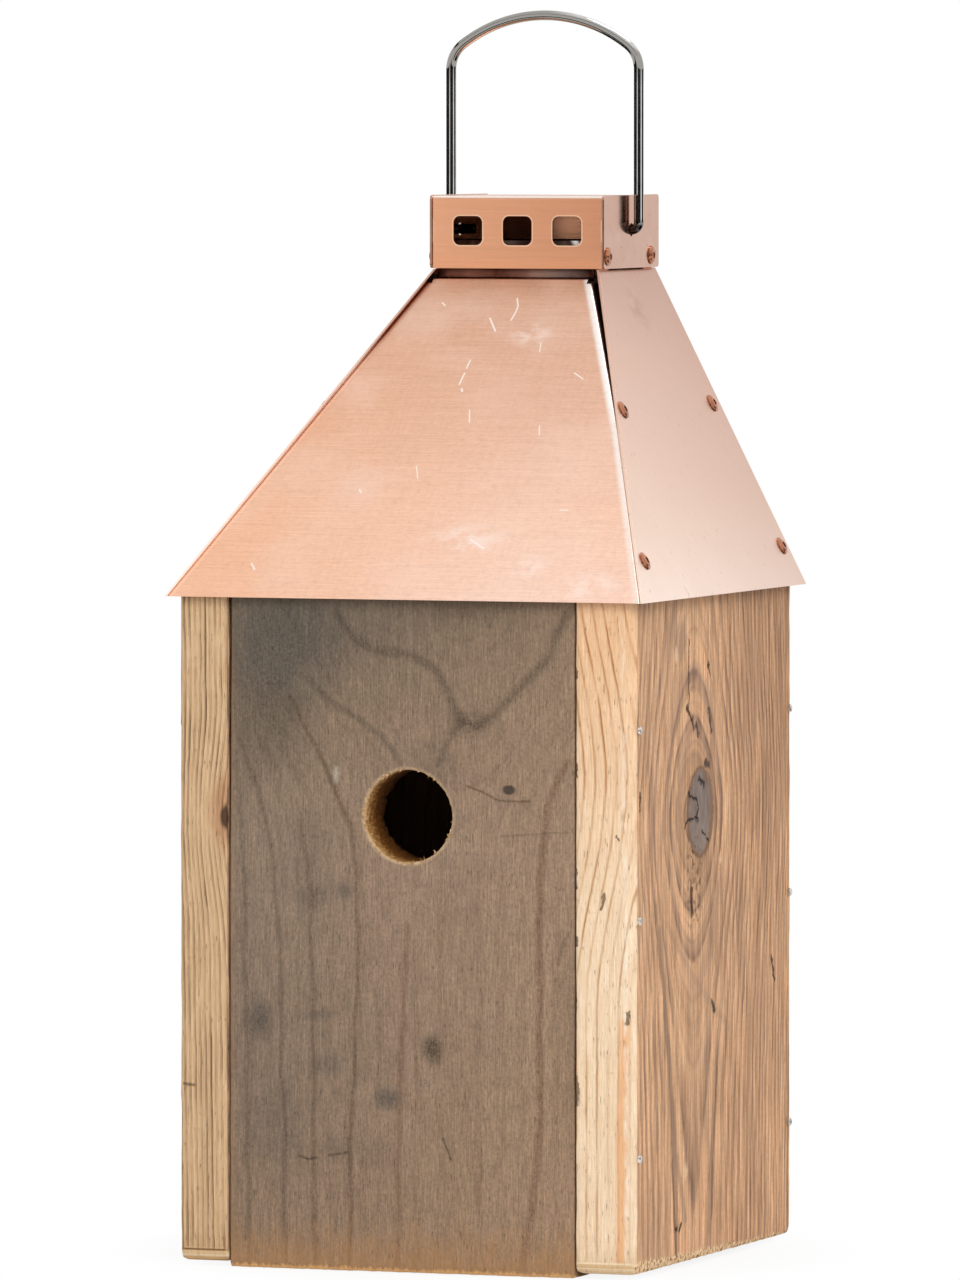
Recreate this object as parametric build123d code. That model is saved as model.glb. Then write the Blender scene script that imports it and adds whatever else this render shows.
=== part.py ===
from build123d import *
import os
from math import asin, degrees, hypot, sqrt

# A nest box of reclaimed boards under a riveted copper hood, with a vented collar and a wire bail.
# Lengths are in millimetres. X runs to the right as one faces the entrance, Y to the back, Z up.
# The origin lies on the surface that the box stands on, under the middle of the hood's outline.

# ---------------------------------------------------------------- boards
body_width = 166.5        # over both side boards
body_depth = 167.0        # over the side boards, front to back
wall_height = 233.5       # tops of the front and side boards, above the standing surface
foot_step = 1.6           # the front and back boards reach this much lower than the side boards
left_thickness = 17.8
right_thickness = 21.5
front_thickness = 19.0
back_thickness = 19.0
board_joint = 0.1         # between a side board and the edge of a board that it covers
front_set_back = 0.4      # of the front board's face behind the side boards' edges
open_joint = 0.9          # extra gap at the top of the front board's left edge
open_joint_foot = 125.0   # height where that gap has closed
worn_arris = 3.0          # rounding along the right board's front outer edge
worn_corner = 4.0         # rounding of the side boards' bottom corners
gable_top_drop = 7.0      # the back board ends this far below the hood's neck
gable_clearance = 3.6     # between the back board's raking edges and the flanges beside them

entrance_radius = 16.0
entrance_height = 157.2
entrance_offset = 0.7     # of the entrance's axis from the middle, to the right

# ---------------------------------------------------------------- floor
floor_thickness = 19.0
floor_clearance = 0.3     # all round the floor
floor_corner = 12.0       # legs of the drain corners cut off the floor
cleat_size = 15.0
cleat_length = 100.0
cleat_joint = 0.1         # between a cleat and the side board and floor that it lies against

# ---------------------------------------------------------------- copper hood
sheet = 0.8
side_overhang = 4.35      # of the side panels' eaves beyond the side boards
end_overhang = 3.8        # of the side panels' front and rear edges beyond the boards
hood_rise = 111.6         # from the eaves to the neck
hood_seat = 0.05          # between the front panel and the boards that it rests on
slot_height = 3.3         # open slot between the front panel's top fold and the collar
reveal_low = 0.7          # the side panels stand this far before the front panel, at the eaves
reveal_high = 2.4         # and at the top
neck_lead = 1.2           # the side panels' hips end this far before the collar's front
flange_width = 13.0
bend_radius = 1.6         # outside a fold
ledge_depth = 7.0         # the front panel's top fold, under the collar's front
relief_height = 1.6       # notches between the top fold and the flanges
neck_height = 10.0        # upright edges inside the collar
neck_gap = 0.3            # between an upright edge and the sheets at its ends
lap_height = 15.0         # the back panel laps this far down over the back board
lap_inset = 2.0           # of the lap's ends from the side boards' faces

# ---------------------------------------------------------------- collar
collar_width = 63.4       # over the channel's end flanges
collar_depth = 56.1       # over the channel's front and back
collar_height = 25.5
collar_lift = 0.2         # between the hood's neck fold and the collar's bottom edge
collar_flange = 9.5       # width of the channel's end flanges
collar_bend = 1.2
plate_lead = 0.7          # the end plates stand this far before the channel
plate_tail = 1.7          # and this far behind it
plate_rise = 0.3          # and this far above it
plate_corner = 1.5
vent_count = 3
vent_width = 10.7
vent_height = 10.2
vent_corner = 2.3
vent_pitch = 18.5
vent_drop = 12.2          # of the vents' centres below the channel's top

# ---------------------------------------------------------------- bail handle
wire_radius = 1.75
hinge_clearance = 0.5     # around the wire in the end plates' holes
hinge_drop = 12.0         # of the hinge's axis below the channel's top
leg_stand_off = 2.7       # from an end plate to a leg's centre line
hook_radius = 2.6         # centre line of the turn at a leg's foot
hook_reach = 5.8          # of the wire's end inside an end plate
shoulder_radius = 11.0
bow_radius = 51.6
bail_height = 75.5        # from the hinge's axis to the bow's centre line

# ---------------------------------------------------------------- fasteners
drill_clearance = 0.05    # around every shank
nail_radius = 0.8
nail_head_radius = 1.1
nail_head_height = 0.5
nail_length = 38.0
nail_inset = 3.5          # from the side boards' front and rear edges
nail_heights = (41.5, 123.0, 188.0)
cleat_nail_length = 28.0
cleat_nail_spread = 25.0  # of a cleat's two nails, each way from its middle
floor_screw_spread = 40.0
floor_screw_radius = 1.75
floor_screw_head = 3.5
floor_screw_length = 30.0
rivet_radius = 1.6
rivet_head_radius = 3.25
rivet_head_height = 1.1
rivet_tail_radius = 2.1
rivet_tail_length = 2.6
rivet_eye_radius = 0.8    # the hole that the broken mandrel leaves in the head
rivet_eye_depth = 0.9
low_rivet_height = 13.6   # above the eaves
high_rivet_height = 63.8
hip_rivet_insets = (7.4, 5.8)     # low and high, behind the side panels' hip edges
rear_rivet_insets = (6.8, 8.2)    # low and high, before their rear edges
collar_rivet_height = 4.3         # above the collar's bottom edge
collar_rivet_insets = (4.3, 8.4)  # from an end plate's front and rear edges
hood_screw_radius = 1.75
hood_screw_head = 3.4
hood_screw_head_height = 2.0
hood_screw_length = 18.0
low_screw_spread = 40.0   # each way from the middle
high_screw_spread = 20.0
high_screw_drop = 20.0    # below the neck

# ---------------------------------------------------------------- worked out from the above
half_width = body_width / 2
half_depth = body_depth / 2
inner_left = left_thickness - half_width
inner_right = half_width - right_thickness
front_face = front_set_back - half_depth
inner_front = front_face + front_thickness
inner_back = half_depth - back_thickness
floor_top = foot_step + floor_thickness

hood_width = body_width + 2 * side_overhang
hood_depth = body_depth + 2 * end_overhang
channel_back = half_depth + 2 * sheet
channel_front = channel_back - collar_depth
neck_half = collar_width / 2 - sheet
neck_edge = neck_half - sheet - neck_gap
upright_edge = neck_edge - rivet_tail_length

side_run = hood_width / 2 - neck_half
side_length = hypot(side_run, hood_rise)
hip_top = channel_front - neck_lead
hip_run = hip_top + hood_depth / 2
front_rise = hood_rise - slot_height
front_low = reveal_low - hood_depth / 2
front_high = hip_run * front_rise / hood_rise - hood_depth / 2 + reveal_high
front_run = front_high - front_low
front_length = hypot(front_run, front_rise)
seat_run = -half_depth - front_low - sheet * front_length / front_rise

eave = wall_height + hood_seat - seat_run * front_rise / front_run
neck = eave + hood_rise
ledge = eave + front_rise
collar_foot = neck + collar_lift
collar_top = collar_foot + collar_height
hinge_height = collar_top - hinge_drop
plate_front = channel_front - plate_lead
plate_back = channel_back + plate_tail
plate_face = collar_width / 2 + sheet
hinge_depth = (plate_front + plate_back) / 2
side_normal = Vector(hood_rise, 0, side_run) / side_length


def side_x(z, inset=0.0):
    """Half the hood's width at height z, inset by a distance square to the side panel."""
    return hood_width / 2 - (z - eave) * side_run / hood_rise - inset * side_length / hood_rise


def hip_y(z):
    """Depth of the side panels' front edges at height z."""
    return (z - eave) * hip_run / hood_rise - hood_depth / 2


def front_y(z, inset=0.0):
    """Depth of the front panel's outer face at height z, inset by a distance square to it."""
    return front_low + (z - eave) * front_run / front_rise + inset * front_length / front_rise


def box_between(low, high):
    """A box from its lowest to its highest corner."""
    size = [b - a for a, b in zip(low, high)]
    return Pos(*low) * Box(*size, align=(Align.MIN, Align.MIN, Align.MIN))


def hood_block(low, high, side_inset, front, back):
    """The space between the two side slopes, from height low to high and from front(z) to back."""
    wide, narrow = side_x(low, side_inset), side_x(high, side_inset)
    across = Polygon((-wide, low), (wide, low), (narrow, high), (-narrow, high), align=None)
    along = Polygon((front(low), low), (back, low), (back, high), (front(high), high), align=None)
    end_view = extrude(Plane.XZ * across, 2 * hood_depth, both=True)
    side_view = extrude(Plane.YZ * along, hood_width, both=True)
    return end_view & side_view


def facing(point, direction):
    """The place whose Z axis points along direction, at point."""
    return Plane(origin=point, z_dir=direction).location


def drill(place, radius, depth):
    """What a drill removes that goes in against the place's Z axis."""
    start = 1.0
    bit = Cylinder(radius, depth + start, align=(Align.CENTER, Align.CENTER, Align.MAX))
    return place * (Pos(0, 0, start) * bit)


def mirrored(part):
    """A right-hand piece as its left-hand twin."""
    return mirror(part, about=Plane.YZ)


def to_left(places):
    """Places on the right side as their mirror images on the left."""
    moved = []
    for place in places:
        at = place.position
        out = Plane(place).z_dir
        moved.append(facing((-at.X, at.Y, at.Z), (-out.X, out.Y, out.Z)))
    return moved


# ---------------------------------------------------------------- fasteners
def nail(length):
    """Along Z, its head standing on the surface at the origin."""
    bottom = (Align.CENTER, Align.CENTER, Align.MIN)
    top = (Align.CENTER, Align.CENTER, Align.MAX)
    head = Cylinder(nail_head_radius, nail_head_height, align=bottom)
    point = 2 * nail_radius
    shank = Cylinder(nail_radius, length - point, align=top)
    tip = Pos(0, 0, point - length) * Cone(0.1, nail_radius, point, align=top)
    return head + shank + tip


def rivet(grip):
    """A closed blind rivet: domed head with the mandrel's eye, shank and the bulb behind the sheets."""
    rim = 0.25 * rivet_head_height
    crown = 0.85 * rivet_head_height
    tail_end = -grip - rivet_tail_length
    with BuildSketch(Plane.XZ) as section:
        with BuildLine():
            Polyline((0, rivet_head_height - rivet_eye_depth),
                     (rivet_eye_radius, rivet_head_height - rivet_eye_depth),
                     (rivet_eye_radius, rivet_head_height))
            ThreePointArc((rivet_eye_radius, rivet_head_height),
                          (0.66 * rivet_head_radius, crown), (rivet_head_radius, rim))
            Polyline((rivet_head_radius, rim), (rivet_head_radius, 0), (rivet_radius, 0),
                     (rivet_radius, -grip), (rivet_tail_radius, -grip),
                     (rivet_tail_radius, -grip - 0.6 * rivet_tail_length),
                     (rivet_radius, tail_end), (0, tail_end),
                     (0, rivet_head_height - rivet_eye_depth))
        make_face()
    return revolve(section.sketch, Axis.Z)


def floor_screw():
    """Countersunk, along Z, its head flush with the surface at the origin."""
    top = (Align.CENTER, Align.CENTER, Align.MAX)
    sink = floor_screw_head - floor_screw_radius
    head = Cone(floor_screw_radius, floor_screw_head, sink, align=top)
    point = 2 * floor_screw_radius
    body = floor_screw_length - sink - point
    shank = Pos(0, 0, -sink) * Cylinder(floor_screw_radius, body, align=top)
    tip = Pos(0, 0, -sink - body) * Cone(0.2, floor_screw_radius, point, align=top)
    return head + shank + tip


def hood_screw():
    """Pan head, along Z, its head standing on the surface at the origin."""
    top = (Align.CENTER, Align.CENTER, Align.MAX)
    head = Cylinder(hood_screw_head, hood_screw_head_height, align=(Align.CENTER, Align.CENTER, Align.MIN))
    head = fillet(head.edges().sort_by(Axis.Z)[-1], 0.6 * hood_screw_head_height)
    point = 2 * hood_screw_radius
    shank = Cylinder(hood_screw_radius, hood_screw_length - point, align=top)
    tip = Pos(0, 0, point - hood_screw_length) * Cone(0.2, hood_screw_radius, point, align=top)
    return head + shank + tip


# ---------------------------------------------------------------- where the fasteners go
def nail_places(side, depth):
    """side is -1 for the left board and 1 for the right; depth is the row's place along Y."""
    return [facing((side * half_width, depth, z), (side, 0, 0)) for z in nail_heights]


front_row = nail_inset - half_depth
back_row = half_depth - nail_inset
nail_rows = {
    "nails_left_front": nail_places(-1, front_row),
    "nails_left_rear": nail_places(-1, back_row),
    "nails_right_front": nail_places(1, front_row),
    "nails_right_rear": nail_places(1, back_row),
}

cleat_middle = floor_top + cleat_joint + cleat_size / 2
cleat_nail_places = []
floor_screw_places = []
for spread in (-1, 1):
    for face, outward in ((inner_left + cleat_joint, 1), (inner_right - cleat_joint, -1)):
        at = (face + outward * cleat_size, spread * cleat_nail_spread, cleat_middle)
        cleat_nail_places.append(facing(at, (outward, 0, 0)))
        under = (face + outward * cleat_size / 2, spread * floor_screw_spread, foot_step)
        floor_screw_places.append(facing(under, (0, 0, -1)))

rivet_heights = (eave + low_rivet_height, eave + high_rivet_height)
hood_rivet_places = []
for z, hip_inset, rear_inset in zip(rivet_heights, hip_rivet_insets, rear_rivet_insets):
    for y in (hip_y(z) + hip_inset, hood_depth / 2 - rear_inset):
        hood_rivet_places.append(facing((side_x(z), y, z), side_normal))

collar_rivet_places = []
for y in (plate_front + collar_rivet_insets[0], plate_back - collar_rivet_insets[1]):
    at = (plate_face, y, collar_foot + collar_rivet_height)
    collar_rivet_places.append(facing(at, (1, 0, 0)))

hood_screw_places = []
for spread, z in ((low_screw_spread, eave - lap_height / 2), (high_screw_spread, neck - high_screw_drop)):
    for side in (-1, 1):
        hood_screw_places.append(facing((side * spread, half_depth + sheet, z), (0, 1, 0)))


def without(part, places, radius, depth):
    """The part with a hole drilled at each place."""
    for place in places:
        part = part - drill(place, radius + drill_clearance, depth + drill_clearance)
    return part


def nailed(part):
    """The part with the holes of every side nail that reaches it."""
    for places in nail_rows.values():
        part = without(part, places, nail_radius, nail_length)
    return part


# ---------------------------------------------------------------- boards
def make_front_board():
    left = inner_left + board_joint
    right = inner_right - board_joint
    outline = Polygon((left, 0), (right, 0), (right, wall_height), (left + open_joint, wall_height),
                      (left, open_joint_foot), align=None)
    face = Plane(origin=(0, front_face, 0), x_dir=(1, 0, 0), z_dir=(0, -1, 0))
    board = extrude(face * outline, -front_thickness)
    entrance = facing((entrance_offset, front_face, entrance_height), (0, -1, 0))
    board = board - drill(entrance, entrance_radius, front_thickness + 1)
    return nailed(board)


def make_back_board():
    """Full height: above the walls it tapers as a gable that carries the hood's back panel."""
    left = inner_left + board_joint
    right = inner_right - board_joint
    top = neck - gable_top_drop
    board = box_between((left, inner_back, 0), (right, half_depth, top))
    clearance = 2 * sheet + gable_clearance
    under_hood = hood_block(eave, neck, clearance, lambda z: inner_back - 1, half_depth + 1)
    below = box_between((left, inner_back, 0), (right, half_depth, eave))
    board = board & (under_hood + below)
    board = without(board, hood_screw_places, hood_screw_radius, hood_screw_length)
    return nailed(board)


def make_side_board(side):
    thickness = right_thickness if side > 0 else left_thickness
    outer = half_width
    board = box_between((outer - thickness, -half_depth, foot_step), (outer, half_depth, wall_height))
    corners = board.edges().filter_by(Axis.X).group_by(Axis.Z)[0]
    board = fillet(corners, worn_corner)
    if side > 0:
        uprights = board.edges().filter_by(Axis.Z).group_by(Axis.X)[-1]
        board = fillet(uprights.sort_by(Axis.Y)[0], worn_arris)
    else:
        board = mirrored(board)
    board = without(board, cleat_nail_places, nail_radius, cleat_nail_length)
    return nailed(board)


def make_floor():
    left = inner_left + floor_clearance
    right = inner_right - floor_clearance
    front = inner_front + floor_clearance
    back = inner_back - floor_clearance
    board = box_between((left, front, foot_step), (right, back, floor_top))
    board = chamfer(board.edges().filter_by(Axis.Z), floor_corner)
    for place in floor_screw_places:
        sink = floor_screw_head - floor_screw_radius
        cone = Cone(floor_screw_radius + drill_clearance, floor_screw_head + drill_clearance, sink,
                    align=(Align.CENTER, Align.CENTER, Align.MAX))
        board = board - place * cone
    return without(board, floor_screw_places, floor_screw_radius, floor_screw_length)


def make_cleat(side):
    reach = floor_top + cleat_joint
    if side > 0:
        left = inner_right - cleat_joint - cleat_size
    else:
        left = inner_left + cleat_joint
    cleat = box_between((left, -cleat_length / 2, reach),
                        (left + cleat_size, cleat_length / 2, reach + cleat_size))
    cleat = without(cleat, cleat_nail_places, nail_radius, cleat_nail_length)
    return without(cleat, floor_screw_places, floor_screw_radius, floor_screw_length)


# ---------------------------------------------------------------- copper hood
def folded(part, outside, inside):
    """The part with the folds rounded whose middles lie at (+-x, y, z) outside and inside the sheet."""
    for corner, radius in ((outside, bend_radius), (inside, bend_radius - sheet)):
        chosen = []
        for edge in part.edges().filter_by(GeomType.LINE):
            middle = edge.position_at(0.5)
            if (Vector(abs(middle.X), middle.Y, middle.Z) - Vector(*corner)).length < sheet:
                chosen.append(edge)
        part = fillet(chosen, radius)
    return part


def make_top_fold():
    """The front panel's top, folded back into a ledge and up again inside the collar."""
    low = ledge - relief_height
    high = neck + neck_height
    back = front_high + ledge_depth
    front = back - sheet
    under = ledge - sheet
    slope_inside = (front_y(under, sheet), under)
    section = Polygon((front_y(low), low), (front_high, ledge), (front, ledge), (front, high),
                      (back, high), (back, under), slope_inside, (front_y(low, sheet), low), align=None)
    corners = {(front_high, ledge): bend_radius, slope_inside: bend_radius - sheet,
               (back, under): bend_radius, (front, ledge): bend_radius - sheet}
    for corner, radius in corners.items():
        section = fillet(section.vertices().sort_by_distance(corner)[0], radius)
    return extrude(Plane.YZ * section, upright_edge, both=True)


def make_front_panel():
    """The front slope, folded back under both side panels, with its top fold between two notches."""
    top = ledge - relief_height
    outer = hood_block(eave, top, sheet, front_y, half_depth)
    inner = hood_block(eave - 1, top + 1, 2 * sheet, lambda z: front_y(z, sheet), half_depth + 1)
    behind = hood_block(eave - 1, top + 1, 0, lambda z: front_y(z, flange_width), half_depth + 1)
    panel = outer - inner - behind
    middle = (eave + top) / 2
    panel = folded(panel, (side_x(middle, sheet), front_y(middle), middle),
                   (side_x(middle, 2 * sheet), front_y(middle, sheet), middle))
    panel = panel + make_top_fold()
    return without(panel, hood_rivet_places + to_left(hood_rivet_places), rivet_radius, 3 * sheet)


def make_side_panel():
    """The right slope and the upright edge at its neck, inside the collar."""
    edge = hood_depth / 2
    outer = hood_block(eave, neck, 0, hip_y, edge)
    inner = hood_block(eave - 1, neck + 1, sheet, lambda z: hip_y(z) - 5, edge + 5)
    panel = (outer - inner) & box_between((0, -edge, eave), (hood_width, edge, neck))
    upright = box_between((neck_half - sheet, channel_front + sheet + neck_gap, neck),
                          (neck_half, half_depth - neck_gap, neck + neck_height))
    panel = panel + upright
    panel = without(panel, hood_rivet_places, rivet_radius, 3 * sheet)
    return without(panel, collar_rivet_places, rivet_radius, 4 * sheet)


def make_back_panel():
    """Upright, with raking flanges under both side panels, a lap over the walls and a neck edge."""
    back = half_depth + sheet
    outer = hood_block(eave, neck, sheet, lambda z: back - flange_width, back)
    inner = hood_block(eave - 1, neck + 1, 2 * sheet, lambda z: back - flange_width - 1, half_depth)
    panel = outer - inner
    middle = (eave + neck) / 2
    panel = folded(panel, (side_x(middle, sheet), back, middle),
                   (side_x(middle, 2 * sheet), half_depth, middle))
    lap_half = half_width - lap_inset
    panel = panel + box_between((-lap_half, half_depth, eave - lap_height), (lap_half, back, eave))
    panel = panel + box_between((-neck_edge, half_depth, neck), (neck_edge, back, neck + neck_height))
    panel = without(panel, hood_screw_places, hood_screw_radius, 3 * sheet)
    return without(panel, hood_rivet_places + to_left(hood_rivet_places), rivet_radius, 3 * sheet)


# ---------------------------------------------------------------- collar
def make_collar_channel():
    """Front, top and back in one sheet, with flanges turned along the open ends."""
    half = collar_width / 2
    shell = box_between((-half, channel_front, collar_foot), (half, channel_back, collar_top))
    shell = fillet(shell.edges().filter_by(Axis.X).group_by(Axis.Z)[-1], collar_bend)
    hollow = box_between((sheet - half, channel_front + sheet, collar_foot - 1),
                         (half - sheet, channel_back - sheet, collar_top - sheet))
    end_window = box_between((-half - 1, channel_front + collar_flange, collar_foot - 1),
                             (half + 1, channel_back - collar_flange, collar_top - sheet))
    channel = shell - hollow - end_window
    vent = extrude(RectangleRounded(vent_width, vent_height, vent_corner), 2 * sheet, both=True)
    front = Plane(origin=(0, channel_front, collar_top - vent_drop), x_dir=(1, 0, 0), z_dir=(0, -1, 0))
    for place in GridLocations(vent_pitch, 1, vent_count, 1):
        channel = channel - front.location * place * vent
    return without(channel, collar_rivet_places + to_left(collar_rivet_places), rivet_radius, 3 * sheet)


def make_collar_plate():
    """The right end plate, with the bail's hole."""
    plate = box_between((collar_width / 2, plate_front, collar_foot),
                        (plate_face, plate_back, collar_top + plate_rise))
    plate = fillet(plate.edges().filter_by(Axis.X), plate_corner)
    hinge = facing((plate_face, hinge_depth, hinge_height), (1, 0, 0))
    plate = plate - drill(hinge, wire_radius + hinge_clearance, 2 * sheet)
    return without(plate, collar_rivet_places, rivet_radius, 2 * sheet)


# ---------------------------------------------------------------- bail handle
def make_bail():
    """One wire: two hooks, two legs, two tight shoulders and a shallow bow over the top."""
    leg = plate_face + leg_stand_off
    end = collar_width / 2 - hook_reach
    bow_centre = bail_height - bow_radius
    shoulder_reach = leg - shoulder_radius
    rise = sqrt((bow_radius - shoulder_radius) ** 2 - shoulder_reach ** 2)
    shoulder = bow_centre + rise
    bow_half = degrees(asin(shoulder_reach / (bow_radius - shoulder_radius)))
    turn = 90 - bow_half
    with BuildLine(Plane.XZ) as half:
        Line((end, 0), (leg - hook_radius, 0))
        CenterArc((leg - hook_radius, hook_radius), hook_radius, -90, 90)
        Line((leg, hook_radius), (leg, shoulder))
        CenterArc((shoulder_reach, shoulder), shoulder_radius, 0, turn)
        CenterArc((0, bow_centre), bow_radius, turn, bow_half)
    start = Plane(origin=(end, 0, 0), z_dir=(1, 0, 0))
    wire = sweep(start * Circle(wire_radius), path=half.line)
    return Pos(0, hinge_depth, hinge_height) * (wire + mirrored(wire))


# ---------------------------------------------------------------- the pieces, by node
def group(part, places):
    """Copies of one fastener, kept as separate solids."""
    return Compound(children=[place * part for place in places])


side_nail = nail(nail_length)
hood_rivet = rivet(2 * sheet)
collar_rivet = rivet(3 * sheet)
side_panel = make_side_panel()
collar_plate = make_collar_plate()

pieces = {
    "front_board": make_front_board(),
    "back_board": make_back_board(),
    "side_board_left": make_side_board(-1),
    "side_board_right": make_side_board(1),
    "floor_board": make_floor(),
    "floor_cleat_left": make_cleat(-1),
    "floor_cleat_right": make_cleat(1),
    "cleat_nails": group(nail(cleat_nail_length), cleat_nail_places),
    "floor_screws": group(floor_screw(), floor_screw_places),
    "hood_front_panel": make_front_panel(),
    "hood_side_panel_left": mirrored(side_panel),
    "hood_side_panel_right": side_panel,
    "hood_back_panel": make_back_panel(),
    "hood_rivets_left": group(hood_rivet, to_left(hood_rivet_places)),
    "hood_rivets_right": group(hood_rivet, hood_rivet_places),
    "hood_screws": group(hood_screw(), hood_screw_places),
    "collar_channel": make_collar_channel(),
    "collar_plate_left": mirrored(collar_plate),
    "collar_plate_right": collar_plate,
    "collar_rivets_left": group(collar_rivet, to_left(collar_rivet_places)),
    "collar_rivets_right": group(collar_rivet, collar_rivet_places),
    "bail_handle": make_bail(),
}
for name, places in nail_rows.items():
    pieces[name] = group(side_nail, places)

os.makedirs("parts", exist_ok=True)
for name, piece in pieces.items():
    export_step(piece, f"parts/{name}.step")
    print(f"{name}: {len(piece.solids())} solids, {piece.volume:.1f} mm3")
print(f"eaves {eave:.3f}, ledge {ledge:.3f}, neck {neck:.3f}, collar {collar_foot:.3f} to {collar_top:.3f}")
print(f"hinge axis at y {hinge_depth:.3f}, z {hinge_height:.3f}")
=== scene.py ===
from math import atan2, cos, pi, radians, sin, tan
from random import Random

import bmesh
import bpy
from bpy.props import FloatProperty, FloatVectorProperty, IntProperty, PointerProperty
from mathutils import Matrix, Vector


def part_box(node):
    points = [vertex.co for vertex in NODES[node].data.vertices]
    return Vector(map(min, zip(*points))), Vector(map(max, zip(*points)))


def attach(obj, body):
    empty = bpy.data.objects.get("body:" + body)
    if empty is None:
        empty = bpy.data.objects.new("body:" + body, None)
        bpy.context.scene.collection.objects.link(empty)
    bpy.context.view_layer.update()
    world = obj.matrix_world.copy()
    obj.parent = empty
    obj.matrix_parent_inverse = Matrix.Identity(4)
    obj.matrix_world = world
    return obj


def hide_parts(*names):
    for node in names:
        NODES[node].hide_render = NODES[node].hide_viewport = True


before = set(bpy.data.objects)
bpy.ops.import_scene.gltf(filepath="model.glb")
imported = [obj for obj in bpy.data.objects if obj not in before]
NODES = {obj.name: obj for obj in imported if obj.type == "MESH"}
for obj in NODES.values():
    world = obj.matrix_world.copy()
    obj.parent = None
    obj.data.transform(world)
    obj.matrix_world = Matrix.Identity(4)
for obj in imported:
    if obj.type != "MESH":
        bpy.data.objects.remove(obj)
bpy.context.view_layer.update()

bl_info = {
    "name": "Copper-hooded nest box",
    "version": (1, 0, 0),
    "blender": (4, 5, 0),
    "location": "3D View > Sidebar > Nest box",
    "description": "Dresses a nest box of reclaimed boards under a riveted copper hood",
    "category": "Object",
}

MM = 0.001

# Sizes of the CAD pieces that the dressed ones repeat, in millimetres.
BOARD_TOP = 234.0
SIDE_FACE = 83.25               # of a side board, from the middle
OPEN_JOINT = 0.9                # at the top of the front board's left edge
OPEN_JOINT_FOOT = 125.0         # where that joint has closed
ENTRANCE = (0.7, 157.2)         # across and up
ENTRANCE_RADIUS = 16.0
BRAD_HEIGHTS = (41.5, 123.0, 188.0)
BRAD_RADIUS = 0.75
RIVET_HEAD = 3.25
VENT_WIDTH, VENT_HEIGHT, VENT_CORNER = 10.7, 10.2, 2.3
VENT_PITCH = 18.5
VENT_DROP = 12.2                # of the vents' middles below the collar's top
WIRE, HOOK, SHOULDER, BOW = 1.75, 2.6, 11.0, 51.6   # radii of the bail's wire and of its bends
STUB = 25.9                     # of the wire's ends from the middle

# Places of the right-hand rivets, and the ways in which their heads face.
HOOD_RIVETS = ((80.690, -65.874, 245.296), (80.690, 80.5, 245.296), (55.186, -15.700, 295.496),
               (55.186, 79.1, 295.496))
HOOD_OUTWARD = (111.6, 0, 56.7)
COLLAR_RIVETS = ((32.5, 32.6, 347.796), (32.5, 78.4, 347.796))

# Sizes and counts that only the dressed pieces have, in millimetres.
BRAD_SHOWN = 8.0                # of a brad's length; the rest would be hidden in the board
GAPE, GAPE_FOOT = 3.2, 288.0    # the wedge beside the front panel's right fold, and where it starts
TRIED_FIBRES = 90               # around the entrance, before some are left out

# Lines on the hood against the height: rise per millimetre, and where they would start at the foot.
FOLD_LINE = (-0.5081, 203.22)   # where the front panel's right fold begins, from the middle
SLOPE_LINE = (1.0471, -329.2)   # depth of the front panel's face
HIP_LINE = (1.0314, -326.3)     # depth of the side panels' front edges


def linear(colour):
    """An sRGB hex colour as the linear numbers that the shaders take."""
    channels = [int(colour[i:i + 2], 16) / 255 for i in (1, 3, 5)]
    return tuple(c / 12.92 if c <= 0.04045 else ((c + 0.055) / 1.055) ** 2.4 for c in channels)


def colour_property(name, description, colour):
    """A colour that a user can change, given as sRGB hex."""
    return FloatVectorProperty(name=name, description=description, subtype="COLOR", size=3,
                               min=0.0, max=1.0, default=linear(colour))


def length_property(name, description, millimetres):
    """A length that a user can change."""
    return FloatProperty(name=name, description=description, subtype="DISTANCE", unit="LENGTH",
                         min=0.0, default=millimetres * MM)


# ---------------------------------------------------------------- what a user would change
class NestBoxBoards(bpy.types.PropertyGroup):
    voxel: length_property("Detail", "Size of the smallest worn detail on the boards", 1.15)
    wear: length_property("Wear", "Depth of the wear along the boards' arrises", 0.5)
    splinter: length_property("Splinters", "Length of the longest fibres around the entrance", 1.9)
    tan: colour_property("Side boards' faces", "Earlywood of the weathered faces", "#dfb38c")
    tan_ring: colour_property("Side boards' rings", "Latewood of the weathered faces", "#7c6355")
    pale_sawn: colour_property("Sawn edge, right", "Earlywood of the right board's sawn edge", "#ffe6c6")
    dull_sawn: colour_property("Sawn edge, left", "Earlywood of the left board's sawn edge", "#e4c29a")
    raw: colour_property("Raw wood", "Freshly torn fibres", "#dfbd98")
    inner: colour_property("Inner boards", "Boards that the weather doesn't reach", "#b08b66")


class NestBoxCopper(bpy.types.PropertyGroup):
    edge: length_property("Edge", "Rounding of the sheets' cut edges", 0.16)
    brushed: colour_property("Front panel", "Brushed copper", "#f7c4a4")
    satin: colour_property("Side panels", "Satin copper", "#f4d2bd")
    warm: colour_property("Collar", "Warmer copper of the collar's channel", "#eeae88")
    polished: colour_property("End plates", "Polished copper", "#c49882")
    rivet: colour_property("Rivets", "Browned copper", "#c28363")
    roughness: FloatProperty(name="Roughness", description="Of the brushed sheets", default=0.34,
                             min=0.0, max=1.0, subtype="FACTOR")


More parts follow.
